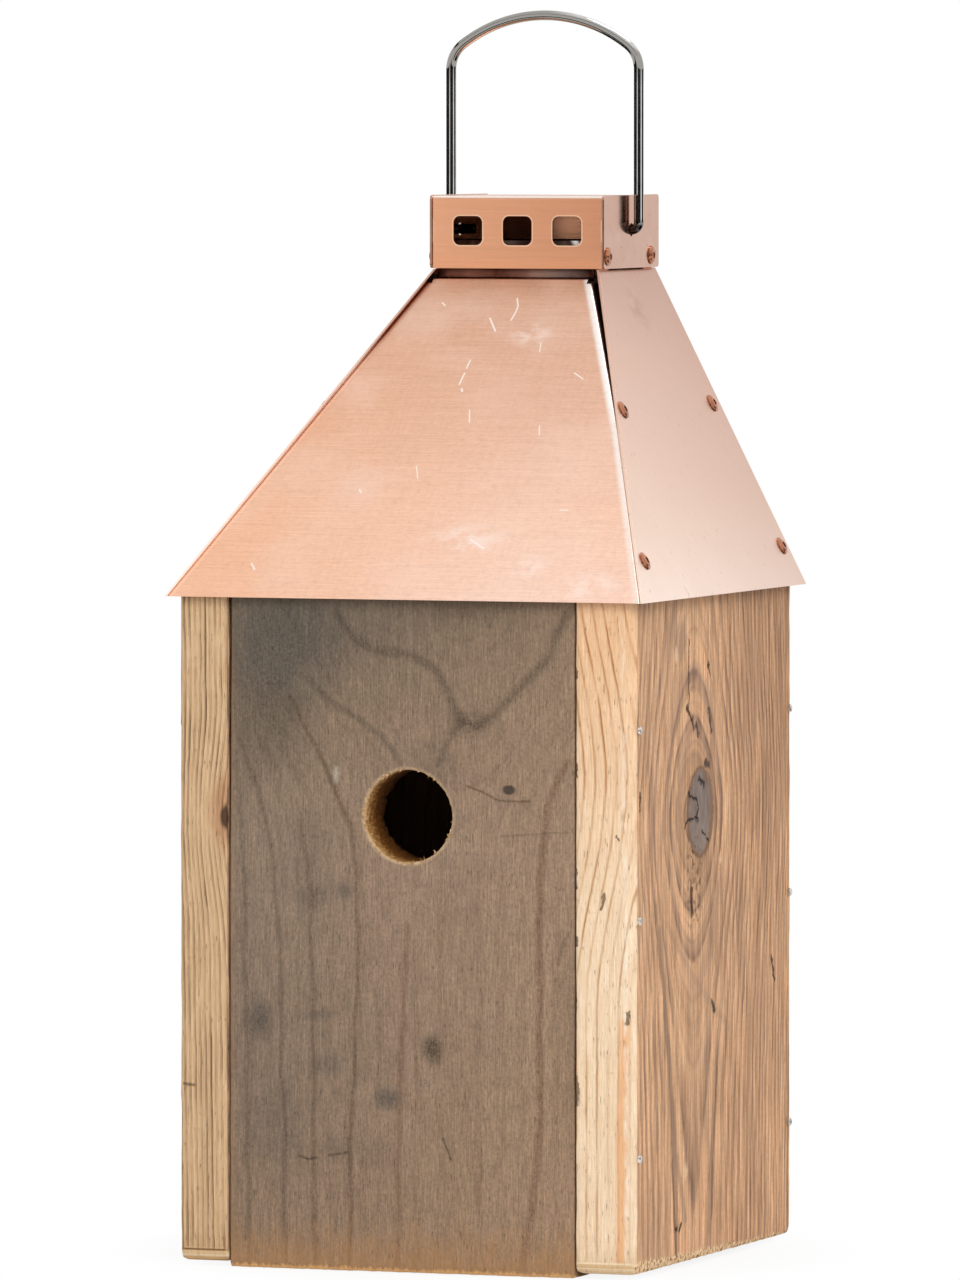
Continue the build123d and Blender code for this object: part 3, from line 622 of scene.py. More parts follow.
def tan_face(tree, place, seed, knotted):
    """A side board's weathered face: tight rings that open around a knot, brushed by the weather."""
    look = bpy.context.scene.nest_box_boards
    flat, swayed = face_of_board(tree, place, "Y", seed)
    line = rings(tree, swayed, pith=-22.0, depth=3.0, spacing=12.3, tighten=0.00138,
                 knot=(156.0, 40.0, 44.0))
    fine, ticks = fibres(tree, flat, seed, across=1.5)
    colour = node(tree, "MixRGB", line, look.tan, look.tan_ring)
    colour = node(tree, "MixRGB", fine, colour, (0.58, 0.54, 0.50), blend_type="MULTIPLY")
    colour = node(tree, "MixRGB", 1.0, colour, (1.40, 1.38, 1.38), blend_type="MULTIPLY")
    streak = spread(tree, flat, 3.2, 45.0, seed + 3, detail=3.0)
    streak = node(tree, "MapRange", streak, 0.45, 0.7, 0.0, 0.4)
    colour = node(tree, "MixRGB", streak, colour, linear("#a37f63"))
    colour = tinted(tree, colour, ticks, 0.4, "#6a4a32")
    fuzz = spread(tree, flat, 2.2, 1.6, seed + 51, detail=4.0, rough=0.75)
    fuzz = node(tree, "MapRange", fuzz, 0.36, 0.64)
    colour = node(tree, "MixRGB", fuzz, colour, (0.88, 0.87, 0.86), blend_type="MULTIPLY")
    clouds = spread(tree, flat, 26.0, 50.0, seed + 5)
    clouds = node(tree, "MapRange", clouds, 0.45, 0.7, 0.0, 0.35)
    colour = node(tree, "MixRGB", clouds, colour, linear("#a58267"))
    seams = node(tree, "MapRange", spread(tree, flat, 2.3, 90.0, seed + 41, detail=3.0, rough=0.6), 0.4, 0.6)
    rearward = node(tree, "MapRange", node(tree, "SeparateXYZ", flat).outputs["X"], -30.0, 40.0, 0.15, 1.0)
    colour = node(tree, "MixRGB", rearward, colour, (1.08, 1.08, 1.08), blend_type="MULTIPLY")
    seams = node(tree, "Math", seams, rearward, operation="MULTIPLY")
    colour = node(tree, "MixRGB", seams, colour, (0.74, 0.72, 0.71), blend_type="MULTIPLY")
    rear = spot(tree, swayed, (70.0, 196.0), (46.0, 60.0), soft=0.8)
    colour = node(tree, "MixRGB", rear, colour, (0.82, 0.80, 0.80), blend_type="MULTIPLY")
    height = node(tree, "Math", fine, 0.5, operation="MULTIPLY")
    height = node(tree, "Math", line, 0.9, height, operation="MULTIPLY_ADD")
    height = node(tree, "Math", ticks, -1.0, height, operation="MULTIPLY_ADD")
    if knotted:
        ragged = spread(tree, flat, 2.2, 3.2, seed + 9, detail=4.0, rough=0.6)
        shake = node(tree, "MapRange", ragged, 0.3, 0.7, -0.9, 0.9, clamp=False)
        wobbly = node(tree, "VectorMath", flat, node(tree, "CombineXYZ", shake, shake), operation="ADD")
        halo = spot(tree, wobbly, (-15.0, 154.0), (20.0, 26.0), soft=0.35)
        colour = tinted(tree, colour, halo, 0.35, "#8f6c50")
        bark = spot(tree, wobbly, (-14.8, 156.5), (14.4, 16.0), soft=0.06)
        colour = tinted(tree, colour, bark, 0.7, "#6e4f39")
        knot = spot(tree, wobbly, (-15.2, 156.5), (11.2, 14.4), soft=0.09)
        grey = node(tree, "ValToRGB", spread(tree, flat, 3.0, 9.0, seed + 11, detail=3.0),
                    stops=[(0.3, linear("#77675e")), (0.7, linear("#92827a"))])
        worn = spot(tree, wobbly, (-14.0, 146.0), (8.0, 8.0), soft=0.8)
        grey = tinted(tree, grey, worn, 0.4, "#a5907f")
        colour = node(tree, "MixRGB", knot, colour, grey)
        tail = spot(tree, wobbly, (-20.5, 133.0), (9.0, 17.0), soft=0.5)
        rough = node(tree, "MapRange", ragged, 0.54, 0.62)
        tail = node(tree, "Math", tail, rough, operation="MULTIPLY")
        colour = tinted(tree, colour, tail, 0.6, "#6b5039")
        height = node(tree, "Math", tail, -2.0, height, operation="MULTIPLY_ADD")
        cuts = strokes(tree, wobbly, (
            (((-27.5, 163.8), (-23, 161.4), (-18.2, 160.9), (-16.8, 157.8), (-19, 154.5), (-16.6, 153.8)), 0.9),
            (((-16.8, 154.6), (-22, 154.9), (-29.5, 153.8), (-31, 152)), 0.6),
            (((-16, 168.2), (-10.8, 166)), 1.2), (((-9.5, 173.5), (-5.4, 172)), 1.5),
            (((-13, 150), (-5.5, 146)), 0.5), (((-27.0, 216.5), (-26.7, 193)), 0.6),
            (((-29, 193.5), (-24.5, 189.4), (-21.5, 186)), 1.3), (((-18.8, 187), (-17.0, 183.6)), 1.5),
            (((-6.4, 208), (-4.8, 203.2)), 0.9), (((-23.4, 122), (-24.4, 130)), 1.9),
            (((-41, 13.6), (-38.6, 13.9)), 1.0), (((-36.6, 13), (-35, 14.8)), 1.1),
            (((-2, 90), (0.5, 86.5)), 1.5), (((62, 101), (65.5, 93)), 1.2), (((-6, 192), (-3, 184)), 0.9),
            (((-77.7, 166.5), (-77.9, 160.5)), 1.0)))
        colour = tinted(tree, colour, cuts, 0.85, "#2a1d14")
        height = node(tree, "Math", cuts, -4.0, height, operation="MULTIPLY_ADD")
        for points, width, strength, tone in (
                (((-57, 118), (-50, 85), (-46.4, 66), (-40, 40), (-30.5, 17)), 3.4, 0.42, "#77685e"),
                (((-4.3, 115), (-8.4, 63), (-4, 10)), 2.4, 0.35, "#7b6a5e"),
                (((-69, 210), (-66, 170), (-64, 120), (-60, 60), (-58, 5)), 1.6, 0.3, "#7d6550"),
                (((-50, 120), (-22, 100), (-8, 92), (16, 80)), 2.6, 0.2, "#7d6c60"),
                (((-52, 152), (-47, 182), (-34, 203), (-20, 207), (-6, 196), (6, 166)), 5.0, 0.3, "#8c7066"),
                (((-38, 150), (-33, 176), (-21, 187), (-8, 178), (0, 158)), 4.0, 0.28, "#8c7066"),
                (((-66, 150), (-61, 196), (-48, 222), (-34, 231)), 5.0, 0.24, "#8c7066"),
                (((-44, 128), (-30, 104), (-20, 94), (-8, 106), (4, 130)), 4.5, 0.24, "#8c7066")):
            colour = node(tree, "MixRGB", stroke(tree, swayed, points, width, strength), colour, linear(tone))
        grey_spot = spot(tree, swayed, (-37.5, 217.0), (8.0, 6.5), soft=0.5)
        colour = tinted(tree, colour, grey_spot, 0.4, "#8b7566")
        for middle, radii in (((6.8, 139.5), (1.0, 2.2)), ((-40, 212), (1.6, 3.0)), ((-30, 33), (2.0, 2.6))):
            chip = spot(tree, wobbly, middle, radii, soft=0.4)
            colour = tinted(tree, colour, chip, 0.7, "#ecc8a0")
    return flat, colour, height


def side_board_material(name, outward, front_rings, early, late, knotted, seed):
    """Reclaimed pine: tan weathered faces with raised rings, and paler sawn edges at front and back."""
    low, high = (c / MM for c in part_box("side_board_right" if outward > 0 else "side_board_left"))
    material, tree, shader, place = new_material(name)
    x, y, z = node(tree, "SeparateXYZ", place).outputs
    face_flat, face, face_height = tan_face(tree, place, seed, knotted)
    flat, swayed, edge, edge_height = sawn_edge(tree, place, seed + 20, early, late, front_rings)
    ragged = spread(tree, flat, 2.0, 7.0, seed + 25, detail=3.0)
    if outward > 0:
        # The right board's edge: a darker orange stripe low down, and a bare worn arris with chips in it, its pale
        # ridge partly worn wood and partly a painted highlight.
        orange_stripe = stroke(tree, swayed, ((79.8, 88), (78.8, 50), (78.4, 2)), 2.9, 0.85)
        edge = node(tree, "MixRGB", orange_stripe, edge, linear("#eeb482"))
        worn_arris_highlight = stroke(tree, swayed, ((78.9, 234), (79.4, 180), (80.0, 120), (80.4, 60), (80.6, 0)), 1.5, 1.0)
        worn_arris_highlight = node(tree, "Math", worn_arris_highlight, node(tree, "MapRange", ragged, 0.4, 0.62, 0.0, 0.7), operation="MULTIPLY")
        edge = node(tree, "MixRGB", worn_arris_highlight, edge, linear("#fff0dc"))
        shake = node(tree, "MapRange", spread(tree, flat, 1.4, 2.4, seed + 27, detail=4.0), 0.3, 0.7, -0.6, 0.6,
                     clamp=False)
        shaken = node(tree, "VectorMath", flat, node(tree, "CombineXYZ", shake, shake), operation="ADD")
        chips = strokes(tree, shaken, (
            (((62.0, 69), (62.5, 65), (62.2, 60)), 1.3), (((61.8, 176), (62.2, 172)), 0.8),
            (((61.8, 140), (62.2, 134)), 0.7), (((72.3, 131.8), (71.9, 129), (71.2, 127)), 0.8),
            (((76.8, 152), (77.6, 150.6)), 0.5), (((80.9, 91.5), (80.9, 88)), 0.8),
            (((61.9, 209), (62.1, 206)), 0.8), (((61.9, 117), (62.1, 114)), 0.8),
            (((61.9, 96), (62.0, 92)), 0.6)))
        edge = tinted(tree, edge, chips, 0.75, "#5a3d24")
        edge_height = node(tree, "Math", chips, -3.0, edge_height, operation="MULTIPLY_ADD")
        # It is darker and more orange towards the top.
        warmth = node(tree, "MapRange", z, 120.0, 225.0, 0.0, 0.9)
        edge = node(tree, "MixRGB", warmth, edge, (0.89, 0.71, 0.58), blend_type="MULTIPLY")
    else:
        knot = spot(tree, swayed, (-65.6, 155.6), (2.6, 4.4), soft=0.3)
        halo = spot(tree, swayed, (-66.5, 157.0), (5.5, 12.0), soft=0.5)
        edge = tinted(tree, edge, halo, 0.45, "#a0623f")
        edge = tinted(tree, edge, knot, 0.9, "#3d2a20")
        mark = stroke(tree, swayed, ((-81.6, 63.4), (-78, 63.2)), 0.9, 0.7)
        edge = node(tree, "MixRGB", mark, edge, linear("#5b4330"))
    # The joint with the front board is painted dark: partly settled dirt, partly painted shade in the gap.
    inner = low[0] if outward > 0 else high[0]
    joint_dirt_and_shade = node(tree, "Math", node(tree, "Math", x, inner, operation="SUBTRACT"), operation="ABSOLUTE")
    joint_dirt_and_shade = node(tree, "MapRange", joint_dirt_and_shade, 0.15, 0.5, 0.6, 0.0)
    edge = node(tree, "MixRGB", joint_dirt_and_shade, edge, linear("#2a1f16"))
    # Grime along the foot of the sawn edge.
    grime = node(tree, "Math", ragged, -16.0, z, operation="MULTIPLY_ADD")
    grime = node(tree, "MapRange", grime, -6.0, 4.0, 0.3, 0.0)
    edge = node(tree, "MixRGB", grime, edge, linear("#a8814f"))
    # The sawn edges reach round the arris; noise makes the border uneven.
    border = 3.2 if outward > 0 else 1.2
    uneven = node(tree, "Math", ragged, 1.6, operation="MULTIPLY")
    from_front = node(tree, "Math", y, low[1], operation="SUBTRACT")
    from_back = node(tree, "Math", y, high[1], operation="SUBTRACT")
    from_back = node(tree, "Math", from_back, operation="ABSOLUTE")
    from_back = node(tree, "Math", from_back, 2.0, operation="MULTIPLY")
    from_end = node(tree, "Math", from_front, from_back, operation="MINIMUM")
    from_end = node(tree, "Math", from_end, uneven, operation="SUBTRACT")
    is_edge = node(tree, "MapRange", from_end, border - 1.3, border - 0.7, 1.0, 0.0)
    colour = node(tree, "MixRGB", is_edge, face, edge)
    height = node(tree, "Mix", is_edge, feed={2: face_height, 3: edge_height}, data_type="FLOAT")
    # The foot looks splintered: a raw band, deepest at the front, bitten along the grain.
    deep = node(tree, "MapRange", y, low[1], high[1], 4.6, 1.2)
    bites = spread(tree, face_flat, 1.1, 9.0, seed + 31, detail=4.0, rough=0.7)
    bites = node(tree, "MapRange", bites, 0.3, 0.7, -1.6, 1.6, clamp=False)
    band = node(tree, "Math", node(tree, "Math", deep, bites, operation="ADD"), z, operation="SUBTRACT")
    band = node(tree, "MapRange", node(tree, "Math", band, low[2], operation="ADD"), 0.0, 0.7)
    torn = node(tree, "ValToRGB", spread(tree, face_flat, 1.6, 1.6, seed + 33, detail=3.0),
                stops=[(0.36, linear("#80593a")), (0.46, linear("#dcb684")), (0.64, linear("#f6dfbe"))])
    colour = node(tree, "MixRGB", node(tree, "Math", band, 0.9, operation="MULTIPLY"), colour, torn)
    dress_wood(tree, shader, colour, height, 0.8, 0.3)
    return material


def inner_pine():
    """Planed pine kept from the weather: even tan with soft rings, satin rather than matt."""
    look = bpy.context.scene.nest_box_boards
    material, tree, shader, place = new_material("planed_inner_pine")
    flat, swayed = face_of_board(tree, place, "X", 8.0)
    line = rings(tree, swayed, pith=-12.0, depth=10.0, spacing=4.6, rise=0.03,
                 bulges=(((22, 110), (16, 26), -7.0), ((-30, 240), (18, 30), -6.0)))
    fine, ticks = fibres(tree, flat, 3.0)
    colour = tinted(tree, look.inner, line, 0.6, "#86623f")
    colour = node(tree, "MixRGB", node(tree, "Math", fine, 0.5, operation="MULTIPLY"), colour,
                 (0.82, 0.79, 0.75), blend_type="MULTIPLY")
    colour = tinted(tree, colour, ticks, 0.5, "#6e4d30")
    clouds = node(tree, "MapRange", spread(tree, flat, 30.0, 60.0, 6.0), 0.4, 0.7, 0.0, 0.5)
    colour = node(tree, "MixRGB", clouds, colour, linear("#937357"))
    for middle, radii in (((22, 110), (4.5, 5.5)), ((-30, 240), (5, 6))):
        knot = spot(tree, swayed, middle, radii, soft=0.25)
        colour = tinted(tree, colour, knot, 0.8, "#5b3d28")
    height = node(tree, "Math", fine, 0.5, line, operation="MULTIPLY_ADD")
    dress_wood(tree, shader, colour, height, 0.74, 0.22)
    return material


def raw_fibres():
    """Torn softwood fibres: pale, dry and matt, patchily darker."""
    look = bpy.context.scene.nest_box_boards
    material, tree, shader, place = new_material("torn_pine_fibres")
    patchy = spread(tree, place, 0.8, 0.8, 2.0, detail=3.0)
    colour = node(tree, "ValToRGB", patchy, stops=[(0.35, linear("#b98f57")), (0.6, tuple(look.raw))])
    dress_wood(tree, shader, colour, patchy, 0.85, 0.1)
    return material


# ---------------------------------------------------------------- the metals
def brushed_lines(tree, place, lengthwise, across, seed):
    """The fine scratches that brushing leaves along X, from 0 to 1."""
    drawn = node(tree, "VectorMath", place, (1 / lengthwise, 1 / across, 1 / across), operation="MULTIPLY")
    drawn = node(tree, "VectorMath", drawn, (seed, seed, seed), operation="ADD")
    lines = node(tree, "TexNoise", feed={"Vector": drawn, "Scale": 1.0, "Detail": 4.0, "Roughness": 0.6})
    return node(tree, "MapRange", lines, 0.3, 0.7)


def clouds_in(tree, place, size, seed, low, high, detail=3.0):
    """Soft patches of tarnish, so many millimetres wide."""
    moved = node(tree, "VectorMath", place, (seed * 31, seed * 17, 0), operation="ADD")
    patches = node(tree, "TexNoise", feed={"Vector": moved, "Scale": 1 / size, "Detail": detail})
    return node(tree, "MapRange", patches, low, high)


def metal(tree, shader, colour, roughness, height=None, relief=0.02):
    """Feeds a bare metal's colour, roughness and relief to its shader."""
    shader.inputs["Metallic"].default_value = 1.0
    tree.links.new(colour.outputs[0], shader.inputs["Base Color"])
    tree.links.new(roughness.outputs[0], shader.inputs["Roughness"])
    if height:
        bump = node(tree, "Bump", feed={"Height": height, "Strength": 1.0, "Distance": relief * MM})
        tree.links.new(bump.outputs[0], shader.inputs["Normal"])


def brushed_copper():
    """Copper sheet brushed along its width: a soft sheen with fine level lines and stray scratches."""
    look = bpy.context.scene.nest_box_copper
    material, tree, shader, place = new_material("brushed_copper_sheet")
    x, y, z = node(tree, "SeparateXYZ", place).outputs
    # The sheet is painted darker towards the top and paler towards the foot and the right: partly dulling by
    # handling, partly painted shade and painted reflection.
    up = node(tree, "MapRange", z, 232.0, 342.0)
    tone = node(tree, "ValToRGB", up, stops=[
        (0.0, linear("#f8c19e")), (0.25, tuple(look.brushed)), (0.6, linear("#ecb797")),
        (0.9, linear("#dfae92")), (0.97, linear("#d5a184"))])
    paler = node(tree, "ValToRGB", up, stops=[
        (0.0, linear("#ffd8c2")), (0.25, linear("#fbd0b6")), (0.6, linear("#ebbea4")),
        (0.9, linear("#e0b297")), (0.97, linear("#d5a386"))])
    tone = node(tree, "MixRGB", node(tree, "MapRange", x, -60.0, 30.0), tone, paler)
    # What lies behind the slope, under the collar and the side panels, is painted dark as painted shade, darkest
    # towards the right.
    slope = node(tree, "Math", z, *SLOPE_LINE, operation="MULTIPLY_ADD")
    behind = node(tree, "Math", y, slope, operation="SUBTRACT")
    behind = node(tree, "MapRange", behind, 1.6, 2.4)
    ahead = node(tree, "MapRange", y, 45.0, 50.0, 1.0, 0.0)
    behind = node(tree, "Math", behind, ahead, operation="MULTIPLY")
    shaded = node(tree, "ValToRGB", node(tree, "MapRange", x, -30.0, 30.0), stops=[
        (0.0, linear("#5f3427")), (0.2, linear("#855444")), (0.35, linear("#5a3025")), (0.6, linear("#8a5a4a")),
        (0.75, linear("#4f281f")), (1.0, linear("#2c1510"))])
    tone = node(tree, "MixRGB", behind, tone, shaded)
    # Inside the collar the sheet is painted near-black as painted shade.
    tone = node(tree, "MixRGB", node(tree, "MapRange", z, 344.0, 347.0), tone, linear("#2a130d"))
    # A painted highlight lies along the right fold's arris; beside it the gap to the side panel is painted dark as
    # painted shade.
    along_hip = node(tree, "Math", z, *FOLD_LINE, operation="MULTIPLY_ADD")
    hip = node(tree, "Math", along_hip, node(tree, "MapRange", z, GAPE_FOOT, 338.4, 0.0, GAPE), operation="SUBTRACT")
    hip = node(tree, "Math", x, hip, operation="SUBTRACT")
    arris = node(tree, "MapRange", hip, -2.6, -0.4, interpolation_type="SMOOTHSTEP")
    arris = node(tree, "Math", arris, node(tree, "MapRange", z, 236.0, 300.0, 0.35, 0.92), operation="MULTIPLY")
    arris = node(tree, "Math", arris, node(tree, "Math", ahead, behind, operation="SUBTRACT"), operation="MULTIPLY")
    painted_gap_shade = node(tree, "Math", node(tree, "MapRange", hip, 0.45, 0.8, 0.0, 0.8), ahead, operation="MULTIPLY")
    # The lines of a brushed sheet are 0.1 mm apart; these are drawn at 0.5 mm, so that they show.
    lines = brushed_lines(tree, place, 26.0, 0.5, 1.0)
    tone = node(tree, "MixRGB", lines, tone, (0.89, 0.86, 0.84), blend_type="MULTIPLY")
    finer = brushed_lines(tree, place, 2.2, 0.6, 9.0)
    tone = node(tree, "MixRGB", finer, tone, (0.90, 0.88, 0.86), blend_type="MULTIPLY")
    hatch = brushed_lines(tree, place, 0.6, 16.0, 5.0)
    tone = node(tree, "MixRGB", hatch, tone, (0.95, 0.94, 0.93), blend_type="MULTIPLY")
    tone = node(tree, "MixRGB", 1.0, tone, (1.10, 1.13, 1.165), blend_type="MULTIPLY")
    # Here the painted highlight on the right fold and the painted shade in the gap beside it are laid on.
    tone = node(tree, "MixRGB", arris, tone, linear("#fffcf7"))
    tone = node(tree, "MixRGB", painted_gap_shade, tone, linear("#5e331f"))
    patches = clouds_in(tree, place, 42.0, 1.0, 0.45, 0.7)
    tone = tinted(tree, tone, patches, 0.3, "#fbe0d0")
    grain = clouds_in(tree, place, 2.4, 2.0, 0.5, 0.75, 4.0)
    tone = tinted(tree, tone, grain, 0.14, "#b98a70")
    # Scratches and rubbed spots, across and up the panel.
    flat = node(tree, "CombineXYZ", x, z)
    marks = strokes(tree, flat, (
        (((3.9, 325.8), (4.6, 328.4), (4.7, 330.6), (3.4, 333.2)), 0.42),
        (((-4.2, 326.4), (-0.5, 322.0)), 0.42), (((-6.0, 312.0), (-6.3, 309.3)), 0.38),
        (((-6.4, 307.5), (-6.9, 303.8)), 0.45), (((-5.4, 302.2), (-4.9, 301.4)), 0.5),
        (((0.3, 295.0), (1.7, 291.0)), 0.34), (((-24, 331.6), (-22.5, 330.6)), 0.3),
        (((28, 290), (29, 287)), 0.3), (((-30, 268), (-29, 267)), 0.4), (((17, 252), (23, 249)), 0.34),
        (((-60, 243), (-58, 241)), 0.4), (((18, 318), (18.6, 315)), 0.3), (((34, 308), (38, 306)), 0.28),
        (((46, 262), (49, 262)), 0.3), (((-12, 276), (-10, 272)), 0.28)))
    tone = tinted(tree, tone, marks, 0.9, "#fff6ee")
    rubbed = None
    for middle, radii in (((66, 237), (9, 3.5)), ((16, 252), (11, 4)), ((13, 321), (6, 3)), ((40, 243), (7, 3))):
        patch = spot(tree, flat, middle, radii, soft=0.8)
        rubbed = node(tree, "Math", rubbed, patch, operation="MAXIMUM") if rubbed else patch
    rubbed = node(tree, "Math", rubbed, clouds_in(tree, place, 5.0, 5.0, 0.42, 0.6, 4.0), operation="MULTIPLY")
    tone = tinted(tree, tone, rubbed, 0.5, "#fff0e8")
    rough = node(tree, "Math", lines, 0.1, look.roughness - 0.05, operation="MULTIPLY_ADD")
    rough = node(tree, "Math", rubbed, 0.12, rough, operation="MULTIPLY_ADD")
    # A worn left fold is duller low down, and what stands up inside the collar is matt and not metallic, to go with
    # its painted shade.
    fold = node(tree, "Math", node(tree, "Math", x, along_hip, operation="ADD"), -1.0, operation="MULTIPLY")
    fold = node(tree, "Math", node(tree, "MapRange", fold, -0.9, -0.3), node(tree, "MapRange", z, 322.0, 308.0),
                operation="MULTIPLY")
    rough = node(tree, "Math", fold, 0.35, rough, operation="MULTIPLY_ADD")
    rough = node(tree, "Math", node(tree, "MapRange", z, 342.0, 345.0), 0.4, rough, operation="MULTIPLY_ADD")
    metal(tree, shader, tone, rough, lines, 0.012)
    bare = node(tree, "MapRange", z, 343.0, 346.0, 1.0, 0.0)
    bare = node(tree, "Math", bare, fold, operation="SUBTRACT")
    tree.links.new(bare.outputs[0], shader.inputs["Metallic"])
    shader.inputs["Specular IOR Level"].default_value = 0.08
    return material


def satin_copper():
    """Copper sheet left satin from the rolling mill: smooth and pinkish, with faint stains."""
    look = bpy.context.scene.nest_box_copper
    material, tree, shader, place = new_material("satin_rolled_copper")
    x, y, z = node(tree, "SeparateXYZ", place).outputs
    # Painted reflection: the sheet is paler towards the foot and darker towards the top; it is also darker towards
    # the rear.
    up = node(tree, "MapRange", z, 232.0, 342.0)
    tone = node(tree, "ValToRGB", up, stops=[
        (0.0, linear("#ffe6d6")), (0.3, tuple(look.satin)), (0.75, linear("#e7bfaa")), (1.0, linear("#d4a995"))])
    rearward = node(tree, "MapRange", y, -60.0, 90.0)
    tone = node(tree, "MixRGB", rearward, tone, (0.77, 0.69, 0.66), blend_type="MULTIPLY")
    patches = clouds_in(tree, place, 30.0, 3.0, 0.4, 0.7)
    tone = tinted(tree, tone, patches, 0.14, "#f3dccd")
    flat = node(tree, "CombineXYZ", y, z)
    stain = spot(tree, flat, (48, 329), (7, 6), soft=0.7)
    spots = clouds_in(tree, place, 6.0, 4.0, 0.42, 0.62, 4.0)
    stain = node(tree, "Math", stain, spots, operation="MULTIPLY")
    tone = tinted(tree, tone, stain, 0.45, "#a97a5c")
    specks = clouds_in(tree, place, 3.0, 8.0, 0.66, 0.74, 2.0)
    tone = tinted(tree, tone, specks, 0.18, "#a97a66")
    # Inside the collar the sheet is painted near-black, as painted shade, and is rougher.
    painted_collar_shade = node(tree, "MapRange", z, 343.4, 345.0)
    tone = node(tree, "MixRGB", painted_collar_shade, tone, linear("#2a130d"))
    rough = node(tree, "Math", patches, 0.08, look.roughness - 0.08, operation="MULTIPLY_ADD")
    rough = node(tree, "Math", painted_collar_shade, 0.4, rough, operation="MULTIPLY_ADD")
    metal(tree, shader, tone, rough, specks, 0.006)
    # Low down, the left panel's front edge is dull where it lies on the front panel's fold.
    edge = node(tree, "Math", z, *HIP_LINE, operation="MULTIPLY_ADD")
    edge = node(tree, "MapRange", node(tree, "Math", y, edge, operation="SUBTRACT"), 2.0, 3.0, 1.0, 0.0)
    for place_on, start, end in ((x, -27.0, -29.0), (z, 322.0, 308.0)):
        edge = node(tree, "Math", edge, node(tree, "MapRange", place_on, start, end), operation="MULTIPLY")
    bare = node(tree, "Math", 1.0, edge, operation="SUBTRACT")
    tree.links.new(bare.outputs[0], shader.inputs["Metallic"])
    return material


def warm_copper():
    """Copper sheet with a warm first tarnish: deeper orange, soft reflections."""
    look = bpy.context.scene.nest_box_copper
    material, tree, shader, place = new_material("warm_tarnished_copper")
    x, y, z = node(tree, "SeparateXYZ", place).outputs
    # Painted reflection and highlight: the channel is darker towards its right, and a brighter orange band runs
    # along its foot.
    tone = node(tree, "MixRGB", node(tree, "MapRange", x, -32.0, 32.0, 0.0, 0.8), look.warm, linear("#cc8e6c"))
    tone = node(tree, "MixRGB", node(tree, "MapRange", z, 344.0, 349.0, 0.45, 0.0), tone, linear("#f0a878"))
    lines = brushed_lines(tree, place, 30.0, 0.6, 4.0)
    tone = node(tree, "MixRGB", node(tree, "Math", lines, 0.2, operation="MULTIPLY"), tone, (0.85, 0.80, 0.78),
                blend_type="MULTIPLY")
    patches = clouds_in(tree, place, 12.0, 6.0, 0.45, 0.7)
    tone = tinted(tree, tone, patches, 0.22, "#dba184")
    rough = node(tree, "Math", lines, 0.06, 0.19, operation="MULTIPLY_ADD")
    # Each vent's punched rim has a painted highlight, within half a millimetre of its edge.
    across = node(tree, "Math", x, -VENT_PITCH / 2, VENT_PITCH / 2, operation="WRAP")
    height = node(tree, "Math", z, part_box("collar_channel")[1].z / MM - VENT_DROP, operation="SUBTRACT")
    corner = node(tree, "CombineXYZ", node(tree, "Math", across, operation="ABSOLUTE"),
                  node(tree, "Math", height, operation="ABSOLUTE"))
    straight = (VENT_WIDTH / 2 - VENT_CORNER, VENT_HEIGHT / 2 - VENT_CORNER, 0)
    corner = node(tree, "VectorMath", corner, straight, operation="SUBTRACT")
    corner = node(tree, "VectorMath", corner, (0, 0, 0), operation="MAXIMUM")
    rim = node(tree, "VectorMath", corner, operation="LENGTH")
    rim = node(tree, "MapRange", rim, VENT_CORNER + 0.3, VENT_CORNER + 0.65, 0.6, 0.0)
    rim = node(tree, "Math", rim, node(tree, "MapRange", y, 35.0, 40.0, 1.0, 0.0), operation="MULTIPLY")
    tone = node(tree, "MixRGB", rim, tone, linear("#ffd3b0"))
    # The top arris has a painted highlight.
    bright = node(tree, "MapRange", z, 368.0, 368.7, 0.0, 0.9)
    bright = node(tree, "Math", bright, node(tree, "MapRange", y, 29.6, 30.6, 1.0, 0.0), operation="MULTIPLY")
    tone = node(tree, "MixRGB", bright, tone, linear("#fff9f3"))
    metal(tree, shader, tone, rough, lines, 0.008)
    return material


def polished_copper():
    """Polished copper plate: near a mirror, pinkish, with a few dried drops."""
    look = bpy.context.scene.nest_box_copper
    material, tree, shader, place = new_material("polished_copper_plate")
    patches = clouds_in(tree, place, 9.0, 9.0, 0.4, 0.7)
    tone = tinted(tree, look.polished, patches, 0.3, "#d9b6a5")
    drops = clouds_in(tree, place, 2.2, 12.0, 0.66, 0.72, 2.0)
    tone = tinted(tree, tone, drops, 0.35, "#8f5f4c")
    rough = node(tree, "Math", patches, 0.06, 0.13, operation="MULTIPLY_ADD")
    metal(tree, shader, tone, rough, drops, 0.004)
    return material


def rivet_copper():
    """Copper-plated blind rivets: browned in patches."""
    look = bpy.context.scene.nest_box_copper
    material, tree, shader, place = new_material("browned_copper_rivets")
    patches = clouds_in(tree, place, 2.0, 2.0, 0.35, 0.7, 4.0)
    tone = node(tree, "MixRGB", patches, look.rivet, linear("#9a5f44"))
    rough = node(tree, "Math", patches, 0.15, 0.16, operation="MULTIPLY_ADD")
    metal(tree, shader, tone, rough, patches, 0.02)
    return material


